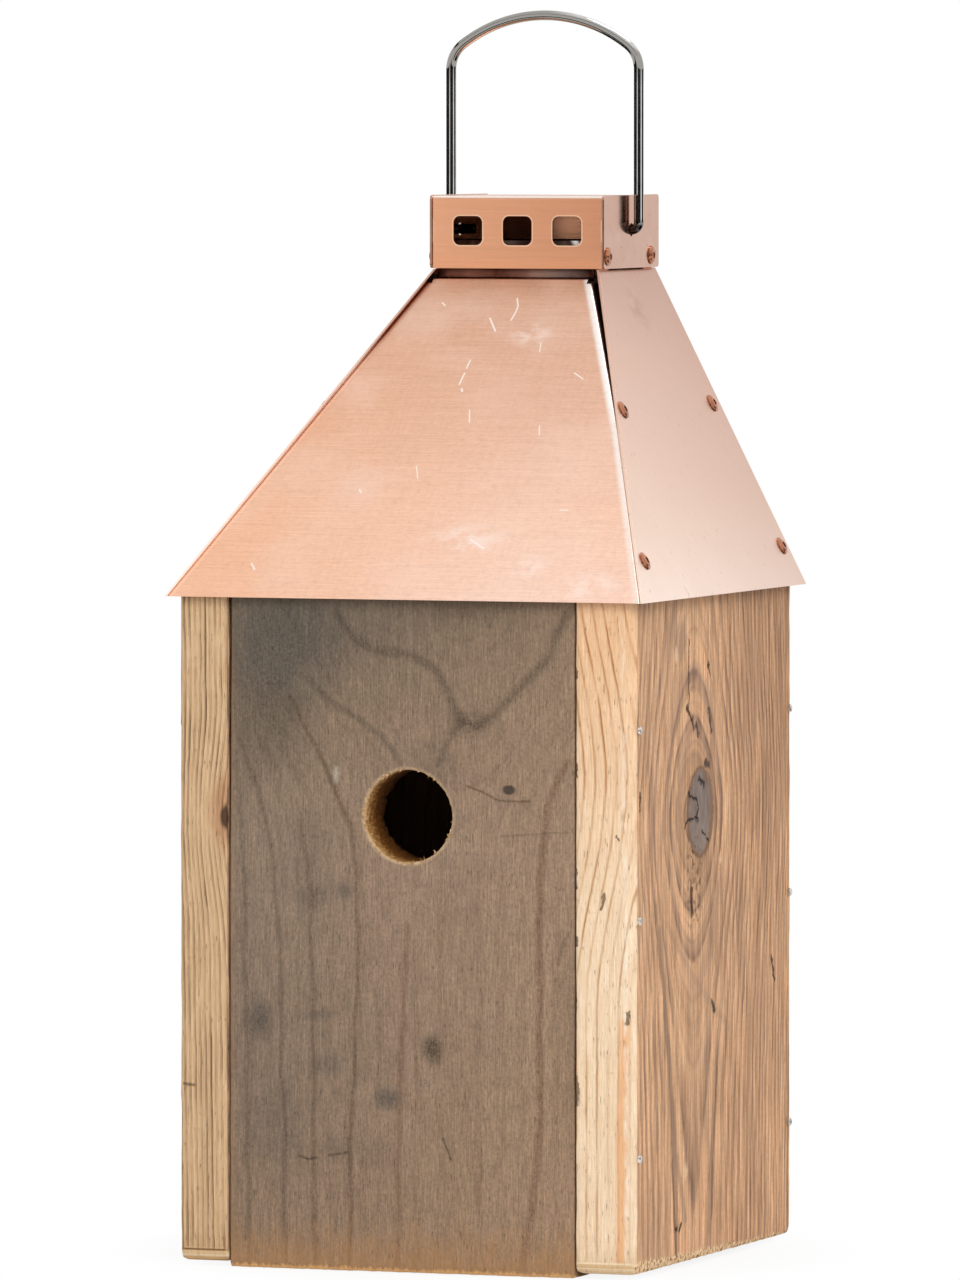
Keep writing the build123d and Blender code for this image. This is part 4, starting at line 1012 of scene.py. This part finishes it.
def chrome_wire():
    """Chrome-plated drawn wire: mirror-bright, with a faint haze."""
    look = bpy.context.scene.nest_box_steel
    material, tree, shader, place = new_material("chrome_plated_wire")
    haze = clouds_in(tree, place, 7.0, 3.0, 0.4, 0.7)
    tone = node(tree, "MixRGB", haze, look.bright, linear("#bfbcb8"))
    # The bow is painted darker, all but the top of its right half, as a painted dark reflection; the hooks are
    # darker where they turn.
    low, high = (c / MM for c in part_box("bail_handle"))
    split = node(tree, "SeparateXYZ", place)
    painted_dark_reflection = node(tree, "MapRange", split.outputs["Z"], high[2] - 27.0, high[2] - 20.0)
    out = node(tree, "VectorMath", node(tree, "CombineXYZ", split.outputs["X"], split.outputs["Z"]),
               (0, high[2] - WIRE - BOW, 0), operation="DISTANCE")
    kept = node(tree, "Math", node(tree, "MapRange", out, BOW + 0.7, BOW + 1.1),
                node(tree, "MapRange", split.outputs["X"], 2.0, 12.0), operation="MULTIPLY")
    tone = node(tree, "MixRGB", node(tree, "Math", painted_dark_reflection, kept, operation="SUBTRACT", use_clamp=True), tone,
                linear("#9d9a95"))
    tone = node(tree, "MixRGB", node(tree, "MapRange", split.outputs["Z"], low[2] + 6.0, low[2] + 3.0), tone,
                linear("#4b4440"))
    rough = node(tree, "Math", haze, 0.02, 0.05, operation="MULTIPLY_ADD")
    metal(tree, shader, tone, rough)
    return material


def zinc_steel():
    """Zinc-plated steel: pale grey and softly mottled, with a satin shine."""
    look = bpy.context.scene.nest_box_steel
    material, tree, shader, place = new_material("zinc_plated_steel")
    mottle = clouds_in(tree, place, 1.4, 5.0, 0.35, 0.7, 4.0)
    tone = node(tree, "MixRGB", mottle, look.dull, linear("#cbc9c5"))
    rough = node(tree, "Math", mottle, 0.15, 0.25, operation="MULTIPLY_ADD")
    metal(tree, shader, tone, rough, mottle, 0.01)
    return material


def looked_at(tree):
    """1 for the rays of the camera, of reflections and of what is seen through glass, and 0 for the others."""
    rays = node(tree, "LightPath")
    seen = node(tree, "Math", rays.outputs["Is Camera Ray"], rays.outputs["Is Glossy Ray"], operation="MAXIMUM")
    return node(tree, "Math", seen, rays.outputs["Is Transmission Ray"], operation="MAXIMUM")


# ---------------------------------------------------------------- operators, one for each group of pieces
class NESTBOX_OT_front_board(bpy.types.Operator):
    """Makes the weathered front board with its bored entrance"""
    bl_idname = "nest_box.front_board"
    bl_label = "Front board"

    def execute(self, context):
        look = context.scene.nest_box_boards
        low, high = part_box("front_board")
        centre = Vector((ENTRANCE[0], 0, ENTRANCE[1])) * MM
        piece = squared("front_board_dressed", low, high)
        # The left edge leans away from the side board towards its top.
        bpy.ops.mesh.select_all(action="SELECT")
        bpy.ops.mesh.bisect(plane_co=(0, 0, OPEN_JOINT_FOOT * MM), plane_no=(0, 0, 1))
        pick(piece, "VERT", lambda co, no: near(co.x, low.x) and near(co.z, high.z))
        bpy.ops.transform.translate(value=(OPEN_JOINT * MM, 0, 0))
        bpy.ops.object.mode_set(mode="OBJECT")
        # The bore, torn a little at the front and more at the back, where the drill broke through.
        bpy.ops.mesh.primitive_circle_add(vertices=120, radius=ENTRANCE_RADIUS * MM, rotation=(pi / 2, 0, 0),
                                          location=(centre.x, low.y - 2 * MM, centre.z), fill_type="NGON")
        cutter = placed("bore")
        bpy.ops.object.mode_set(mode="EDIT")
        bpy.ops.mesh.select_all(action="SELECT")
        for y, jag in ((low.y + 0.1 * MM, 0.3), (low.y + 1.4 * MM, 0.05), (high.y - 5.0 * MM, 0.05),
                       (high.y - 1.6 * MM, 1.0), (high.y + 2.0 * MM, 2.2)):
            bottom = bmesh.from_edit_mesh(cutter.data)
            at = [v.co.y for v in bottom.verts if v.select][0]
            bpy.ops.mesh.extrude_region_move(TRANSFORM_OT_translate={"value": (0, y - at, 0)})
            shape = bmesh.from_edit_mesh(cutter.data)
            chance = Random(round(y / MM * 7))
            for vert in shape.verts:
                if vert.select:
                    out = Vector((vert.co.x - centre.x, 0, vert.co.z - centre.z))
                    vert.co -= out.normalized() * jag * MM * chance.random() ** 2
                    vert.co.y = y
            bmesh.update_edit_mesh(cutter.data)
        bpy.ops.mesh.select_all(action="SELECT")
        bpy.ops.mesh.normals_make_consistent(inside=False)
        bpy.ops.object.mode_set(mode="OBJECT")
        modify(piece, "BOOLEAN", operation="DIFFERENCE", object=cutter, solver="EXACT")
        bpy.data.objects.remove(cutter)
        modify(piece, "REMESH", mode="VOXEL", voxel_size=look.voxel, use_smooth_shade=True)
        weather(piece, low, high, look.wear * 0.8, 2.2 * MM, 0.31)
        finished(piece, "house", "grey_weathered_board", weathered_pine_front(), "front_board")
        return {"FINISHED"}


class NESTBOX_OT_side_boards(bpy.types.Operator):
    """Makes the two side boards, worn along their arrises"""
    bl_idname = "nest_box.side_boards"
    bl_label = "Side boards"

    def execute(self, context):
        look = context.scene.nest_box_boards
        right = dict(pith=0.0, depth=0.0, spacing=3.9, start=0.72, paused=0.2,
                     bulges=(((70, 172), (70, 40), -11.0),))
        left = dict(pith=0.0, depth=0.0, spacing=1.9, rise=0.014, bulges=(((-64, 154), (14, 22), 4.5),))
        for side, outward, edge_rings, early, late, knotted, seed, arris in (
                ("left", -1, left, look.dull_sawn, linear("#76563a"), False, 4.0, 1.0),
                ("right", 1, right, look.pale_sawn, linear("#c48c56"), True, 1.0, 3.0)):
            low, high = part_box("side_board_" + side)
            outer = high.x if outward > 0 else low.x
            piece = squared("side_board_" + side + "_dressed", low, high)
            # Rounded corners at the foot, then the worn outer arris at the front.
            pick(piece, "EDGE", lambda co, run: abs(run.x) > 0.9 and near(co.z, low.z))
            bpy.ops.mesh.bevel(offset=4 * MM, offset_pct=0, segments=5, affect="EDGES")
            pick(piece, "EDGE", lambda co, run: abs(run.z) > 0.9 and near(co.x, outer) and near(co.y, low.y))
            bpy.ops.mesh.bevel(offset=arris * MM, offset_pct=0, segments=4, affect="EDGES")
            bpy.ops.object.mode_set(mode="OBJECT")
            modify(piece, "REMESH", mode="VOXEL", voxel_size=look.voxel, use_smooth_shade=True)
            weather(piece, low, high, look.wear, 2.4 * MM, 0.17 * seed)
            material = side_board_material("reclaimed_pine_" + side, outward, edge_rings, early, late,
                                           knotted, seed)
            finished(piece, "house", "brown_weathered_board", material, "side_board_" + side)
        return {"FINISHED"}


class NESTBOX_OT_inner_boards(bpy.types.Operator):
    """Makes the back board, the floor and its cleats"""
    bl_idname = "nest_box.inner_boards"
    bl_label = "Back board and floor"

    def execute(self, context):
        material = inner_pine()
        for name in ("back_board", "floor_board", "floor_cleat_left", "floor_cleat_right"):
            finished(softened(name, 0.5 * MM), "house", "inner_board", material, name)
        return {"FINISHED"}


class NESTBOX_OT_splinters(bpy.types.Operator):
    """Sets torn fibres around the rim of the entrance"""
    bl_idname = "nest_box.splinters"
    bl_label = "Entrance fibres"

    def execute(self, context):
        look = context.scene.nest_box_boards
        chance = Random(12)
        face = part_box("front_board")[0].y
        bpy.ops.object.select_all(action="DESELECT")
        bpy.ops.mesh.primitive_cone_add(vertices=5, radius1=0.16 * MM, radius2=0.03 * MM, depth=1.0 * MM,
                                        location=(0, 0, 0.5 * MM))
        fibre = placed("entrance_fibres")
        bpy.ops.object.mode_set(mode="EDIT")
        bpy.ops.mesh.select_all(action="SELECT")
        bpy.ops.mesh.bisect(plane_co=(0, 0, 0.45 * MM), plane_no=(0, 0, 1))
        pick(fibre, "VERT", lambda co, no: near(co.z, 0.45 * MM))
        bpy.ops.transform.translate(value=(0.12 * MM, 0, 0))
        bpy.ops.object.mode_set(mode="OBJECT")
        copies = []
        for _ in range(TRIED_FIBRES):
            angle = chance.uniform(0, 2 * pi)
            # Most fibres stand at the foot of the hole and at its upper left.
            if sin(angle) > -0.3 and cos(angle) > -0.3 and chance.random() < 0.75:
                continue
            size = chance.uniform(0.35, 1.0) ** 1.5 * look.splinter
            radius = (ENTRANCE_RADIUS + 0.2 + chance.uniform(-0.3, 0.5)) * MM
            root = Vector((ENTRANCE[0] * MM + radius * cos(angle), face - 0.05 * MM,
                           ENTRANCE[1] * MM + radius * sin(angle)))
            lean = Vector((-cos(angle) * chance.uniform(-0.4, 1.0) + chance.uniform(-0.5, 0.5),
                           -chance.uniform(0.05, 0.5), -sin(angle) * 0.4 + chance.uniform(-0.9, 0.9)))
            grow = Matrix.Diagonal((chance.uniform(0.5, 1.8), chance.uniform(0.7, 1.5), size / MM, 1))
            copies.append(copied(fibre, "fibre", facing(root, lean) @ grow))
        bpy.data.objects.remove(fibre)
        piece = joined(copies, "entrance_fibres")
        bpy.ops.object.shade_smooth()
        finished(piece, "house", "grey_weathered_board", raw_fibres())
        return {"FINISHED"}


class NESTBOX_OT_hood(bpy.types.Operator):
    """Dresses the folded and riveted sheets of the copper hood"""
    bl_idname = "nest_box.hood"
    bl_label = "Copper hood"

    def execute(self, context):
        edge = context.scene.nest_box_copper.edge
        brushed, satin = brushed_copper(), satin_copper()

        def gape(piece):
            """Opens a wedge beside the front panel's right fold and closes the notch at its left one."""
            bpy.ops.mesh.select_all(action="SELECT")
            bpy.ops.mesh.bisect(plane_co=(0, 0, GAPE_FOOT * MM), plane_no=(0, 0, 1))
            pick(piece, "VERT", lambda co, no: co.z > 338 * MM and co.x > 29 * MM)
            bpy.ops.transform.translate(value=(-GAPE * MM, 0, 0))
            pick(piece, "VERT", lambda co, no: co.z > 338.3 * MM and abs(co.x + 27.2 * MM) < 0.05 * MM)
            bpy.ops.transform.translate(value=(-3.3 * MM, 0, 0))

        for name, slot, material in (("hood_front_panel", "brushed_copper", brushed),
                                     ("hood_back_panel", "brushed_copper", brushed),
                                     ("hood_side_panel_left", "satin_copper", satin),
                                     ("hood_side_panel_right", "satin_copper", satin)):
            reshape = gape if name == "hood_front_panel" else None
            finished(softened(name, edge, dissolve=0.5, reshape=reshape), "house", slot, material, name)
        return {"FINISHED"}


class NESTBOX_OT_collar(bpy.types.Operator):
    """Dresses the vented collar and its polished end plates"""
    bl_idname = "nest_box.collar"
    bl_label = "Vent collar"

    def execute(self, context):
        edge = context.scene.nest_box_copper.edge
        warm, polished = warm_copper(), polished_copper()
        for name, slot, material in (("collar_channel", "warm_copper", warm),
                                     ("collar_plate_left", "polished_copper", polished),
                                     ("collar_plate_right", "polished_copper", polished)):
            finished(softened(name, 1.6 * edge, dissolve=0.5), "house", slot, material, name)
        return {"FINISHED"}


class NESTBOX_OT_rivets(bpy.types.Operator):
    """Makes one blind rivet and sets a copy at every place on the hood and collar"""
    bl_idname = "nest_box.rivets"
    bl_label = "Rivets"

    def execute(self, context):
        bpy.ops.object.select_all(action="DESELECT")
        bpy.ops.mesh.primitive_cylinder_add(vertices=40, radius=RIVET_HEAD * MM, depth=0.6 * MM,
                                            location=(0, 0, 0.1 * MM))
        head = placed("rivet")
        bpy.ops.object.mode_set(mode="EDIT")
        pick(head, "FACE", lambda co, no: no.z > 0.9)
        # Flat brim, dome, eye and the broken mandrel in it.
        for inset, rise in ((0.12, 0.06), (0.42, 0.10), (0.30, 0.26), (0.35, 0.17), (0.45, 0.12), (0.42, 0.04),
                            (0.10, -0.03), (0.02, -0.62), (0.28, 0.0), (0.02, 0.30), (0.12, 0.06)):
            bpy.ops.mesh.inset(thickness=inset * MM, depth=rise * MM)
        bpy.ops.object.mode_set(mode="OBJECT")
        bpy.ops.object.shade_smooth_by_angle(angle=radians(32))
        material = rivet_copper()
        for group, places, outward in (("hood_rivets", HOOD_RIVETS, HOOD_OUTWARD),
                                       ("collar_rivets", COLLAR_RIVETS, (1, 0, 0))):
            for hand, side in (("_right", 1), ("_left", -1)):
                mirror = Vector((side, 1, 1))
                out = Vector(outward) * mirror
                copies = [copied(head, group, facing(Vector(at) * mirror * MM, out)) for at in places]
                piece = joined(copies, group + hand + "_dressed")
                finished(piece, "house", "rivet_copper", material, group + hand)
        bpy.data.objects.remove(head)
        return {"FINISHED"}


class NESTBOX_OT_bail(bpy.types.Operator):
    """Bends the bail: a round wire led from one hook over the bow to the other"""
    bl_idname = "nest_box.bail"
    bl_label = "Bail"

    def execute(self, context):
        steel = context.scene.nest_box_steel
        low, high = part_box("bail_handle")
        wire, hook, shoulder, bow, stub = (size * MM for size in (WIRE, HOOK, SHOULDER, BOW, STUB))
        y = (low.y + high.y) / 2
        leg = high.x - wire
        hinge = low.z + wire
        top = high.z - wire
        shoulder_x = leg - shoulder
        lift = (bow - shoulder) ** 2 - shoulder_x ** 2
        shoulder_z = top - bow + lift ** 0.5
        turn = atan2(lift ** 0.5, shoulder_x)
        bpy.ops.object.select_all(action="DESELECT")
        bpy.ops.mesh.primitive_circle_add(vertices=steel.wire_sides, radius=wire, fill_type="NGON",
                                          rotation=(0, pi / 2, 0), location=(stub, y, hinge))
        piece = placed("bail_handle_dressed")
        bpy.ops.object.mode_set(mode="EDIT")
        bpy.ops.mesh.select_all(action="SELECT")

        def straight(dx, dz):
            bpy.ops.mesh.extrude_region_move(TRANSFORM_OT_translate={"value": (dx, 0, dz)})

        def bend(x, z, angle, steps):
            bpy.ops.mesh.spin(steps=steps, angle=angle, center=(x, y, z), axis=(0, 1, 0))

        straight(leg - hook - stub, 0)
        bend(leg - hook, hinge + hook, pi / 2, 10)
        straight(0, shoulder_z - hinge - hook)
        bend(shoulder_x, shoulder_z, turn, 14)
        bend(0, top - bow, pi - 2 * turn, 40)
        bend(-shoulder_x, shoulder_z, turn, 14)
        straight(0, hinge + hook - shoulder_z)
        bend(hook - leg, hinge + hook, pi / 2, 10)
        straight(leg - hook - stub, 0)
        bpy.ops.mesh.select_all(action="SELECT")
        bpy.ops.mesh.remove_doubles(threshold=2e-6)
        bpy.ops.mesh.normals_make_consistent(inside=False)
        bpy.ops.object.mode_set(mode="OBJECT")
        # The wire's cut ends are eased.
        modify(piece, "BEVEL", width=0.4 * MM, segments=2, limit_method="ANGLE", angle_limit=radians(60))
        take(piece)
        bpy.ops.object.shade_smooth_by_angle(angle=radians(40))
        finished(piece, "bail", "bright_wire", chrome_wire(), "bail_handle")
        return {"FINISHED"}


class NESTBOX_OT_brads(bpy.types.Operator):
    """Drives the brads into the side boards, each head a little proud and tilted"""
    bl_idname = "nest_box.brads"
    bl_label = "Brads and screws"

    def execute(self, context):
        steel = context.scene.nest_box_steel
        material = zinc_steel()
        # On the left they are driven nearly home.
        for hand, side, proud, seeds in (("left", -1, 0.3 * steel.proud, (40, 41)),
                                         ("right", 1, steel.proud, (42, 43))):
            bpy.ops.object.select_all(action="DESELECT")
            bpy.ops.mesh.primitive_cylinder_add(vertices=20, radius=BRAD_RADIUS * MM, depth=BRAD_SHOWN * MM,
                                                location=(0, 0, -BRAD_SHOWN / 2 * MM))
            brad = placed("brad")
            bpy.ops.object.mode_set(mode="EDIT")
            pick(brad, "FACE", lambda co, no: no.z > 0.9)
            bpy.ops.mesh.extrude_region_move(TRANSFORM_OT_translate={"value": (0, 0, 0.2 * proud)})
            grow = steel.head / (BRAD_RADIUS * MM)
            bpy.ops.transform.resize(value=(grow, grow, 1))
            bpy.ops.mesh.extrude_region_move(TRANSFORM_OT_translate={"value": (0, 0, 0.6 * proud)})
            bpy.ops.mesh.inset(thickness=0.25 * MM, depth=0.2 * proud)
            bpy.ops.object.mode_set(mode="OBJECT")
            oval = Matrix.Diagonal((1.0, 1.35, 1.0, 1.0))
            for end, seed in zip(("front", "rear"), seeds):
                name = f"nails_{hand}_{end}"
                low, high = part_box(name)
                chance = Random(seed)
                copies = []
                for height in BRAD_HEIGHTS:
                    lean = Vector((side, chance.uniform(-0.25, 0.25), chance.uniform(-0.2, 0.2)))
                    at = Vector((side * SIDE_FACE * MM, (low.y + high.y) / 2, height * MM))
                    copies.append(copied(brad, name, facing(at, lean) @ oval))
                piece = joined(copies, name + "_dressed")
                bpy.ops.object.shade_smooth_by_angle(angle=radians(40))
                finished(piece, "house", "dull_steel", material, name)
            bpy.data.objects.remove(brad)
        for name in ("cleat_nails", "floor_screws", "hood_screws"):
            for slot in NODES[name].material_slots:
                slot.material = material
        return {"FINISHED"}


class NESTBOX_OT_stage(bpy.types.Operator):
    """Sets the camera, the white room, the lamps, the pale floor and the dark flags for the chrome"""
    bl_idname = "nest_box.stage"
    bl_label = "Stage"

    def execute(self, context):
        look = context.scene.nest_box_stage
        a, e = look.azimuth, look.elevation
        back = Vector((sin(a) * cos(e), -cos(a) * cos(e), sin(e)))
        right = Vector((cos(a), sin(a), 0))
        up = back.cross(right)
        camera = bpy.data.cameras.new("camera")
        camera.lens = look.lens
        camera.sensor_width = 36
        camera.clip_start = 0.05
        camera.clip_end = 60
        context.scene.camera = hung(camera, back * look.distance - right * look.aside + up * look.aim,
                                    Matrix((right, up, back)).transposed().to_quaternion())
        context.scene.view_settings.view_transform = "Standard"

        # The room: white to the camera and in reflections, softer on matt surfaces.
        world = bpy.data.worlds.new("white_room")
        context.scene.world = world
        world.use_nodes = True
        tree = world.node_tree
        tree.nodes.clear()
        strength = node(tree, "MapRange", looked_at(tree), 0.0, 1.0, look.sky, 1.0)
        node(tree, "OutputWorld", node(tree, "Background", linear("#ffffff"), strength))

        for name, at, size, power in (("key", Vector((1.5, -1.7, 1.7)), 1.5, look.key),
                                      ("fill", Vector((-2.0, -1.8, 1.1)), 2.2, look.fill)):
            turn = (at - Vector((0, 0, 0.2))).to_track_quat("Z", "Y")
            area_lamp(name, size, size, power, at, turn).visible_glossy = False

        # The floor is matt and white near the box, where it takes the shadow, and plain white further off.
        bpy.ops.object.select_all(action="DESELECT")
        bpy.ops.mesh.primitive_plane_add(size=40, location=(0, 0, -0.0002))
        floor = placed("floor")
        material, tree, shader, place = new_material("white_studio_floor")
        shader.inputs["Base Color"].default_value = (*linear("#f4f4f4"), 1)
        shader.inputs["Roughness"].default_value = 0.9
        shader.inputs["Specular IOR Level"].default_value = 0.1
        plain = node(tree, "Emission", linear("#ffffff"), 1.0)
        away = node(tree, "VectorMath", place, operation="LENGTH")
        far = node(tree, "MapRange", away, 60.0, 150.0, 0.85, 1.0, interpolation_type="SMOOTHSTEP")
        output = next(n for n in tree.nodes if n.type == "OUTPUT_MATERIAL")
        share = node(tree, "Math", far, looked_at(tree), operation="MULTIPLY")
        blend = node(tree, "MixShader", share, shader, plain)
        tree.links.new(blend.outputs[0], output.inputs["Surface"])
        floor.data.materials.append(material)

        # Dark flags around the box, seen only in reflections: they draw the chrome's outlines.
        black, _, shader, _ = new_material("black_flag")
        shader.inputs["Base Color"].default_value = (*linear("#191919"), 1)
        shader.inputs["Roughness"].default_value = 1.0
        centre = Vector((0, 0.057, 0.4))
        # Each reaches from one way around to another and from low to high, in degrees, so many metres off.
        for number, (first, last, low, high, reach) in enumerate((
                (90, 170, -7, 2, 1.6), (170, 244, -7, 2, 1.6), (262, 334, -7, 2, 1.6), (2, 56, -7, 2, 1.6),
                (205, 300, 30, 36, 1.6), (140, 206, 27, 35, 1.6), (205, 300, -36, -19, 0.45),
                (130, 204, -50, -22, 0.5), (330, 390, -60, -24, 0.5))):
            around, lift = radians((first + last) / 2), radians((low + high) / 2)
            way = Vector((cos(around) * cos(lift), sin(around) * cos(lift), sin(lift)))
            bpy.ops.object.select_all(action="DESELECT")
            bpy.ops.mesh.primitive_plane_add(size=1, location=centre + reach * way,
                                             rotation=(-way).to_track_quat("Z", "Y").to_euler())
            flag = bpy.context.object
            flag.scale = (2 * reach * tan(radians(last - first) / 2), 2 * reach * tan(radians(high - low) / 2), 1)
            flag = placed(f"flag_{number}")
            flag.visible_camera = False
            flag.visible_diffuse = False
            flag.visible_shadow = False
            flag.data.materials.append(black)

        # A small bright lamp, also seen only in reflections, lights up the sheets' folds.
        # Its long side follows the way in which the right hip's fold sweeps its reflections.
        way = Vector((0.20, 0.28, 0.94)).normalized()
        along = Vector((0.284, 0.27, 0.0))
        along = (along - along.dot(way) * way).normalized()
        turn = Matrix((along.cross(way), along, way)).transposed().to_quaternion()
        area_lamp("spark", 0.5, 1.0, look.spark, centre + 2.2 * way, turn).visible_diffuse = False
        return {"FINISHED"}


class NESTBOX_PT_panel(bpy.types.Panel):
    """Lists the steps that dress the nest box, and what can be changed"""
    bl_label = "Nest box"
    bl_idname = "NESTBOX_PT_panel"
    bl_space_type = "VIEW_3D"
    bl_region_type = "UI"
    bl_category = "Nest box"

    def draw(self, context):
        for step in STEPS:
            self.layout.operator(step.bl_idname)
        for group in GROUPS:
            settings = getattr(context.scene, group)
            box = self.layout.box()
            for name in settings.__annotations__:
                box.prop(settings, name)


GROUPS = {
    "nest_box_boards": NestBoxBoards,
    "nest_box_copper": NestBoxCopper,
    "nest_box_steel": NestBoxSteel,
    "nest_box_stage": NestBoxStage,
}
STEPS = (NESTBOX_OT_stage, NESTBOX_OT_front_board, NESTBOX_OT_side_boards, NESTBOX_OT_inner_boards,
         NESTBOX_OT_splinters, NESTBOX_OT_hood, NESTBOX_OT_collar, NESTBOX_OT_rivets, NESTBOX_OT_bail,
         NESTBOX_OT_brads)


def register():
    """Registers the settings, the steps and the panel."""
    for made in (*GROUPS.values(), *STEPS, NESTBOX_PT_panel):
        bpy.utils.register_class(made)
    for name, group in GROUPS.items():
        setattr(bpy.types.Scene, name, PointerProperty(type=group))


def unregister():
    """Takes them out again, in the opposite order."""
    for name in GROUPS:
        delattr(bpy.types.Scene, name)
    for made in reversed((*GROUPS.values(), *STEPS, NESTBOX_PT_panel)):
        bpy.utils.unregister_class(made)


def main():
    """Dresses the whole box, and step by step."""
    register()
    for step in STEPS:
        section, name = step.bl_idname.split(".")
        getattr(getattr(bpy.ops, section), name)()


if __name__ == "__main__":
    main()
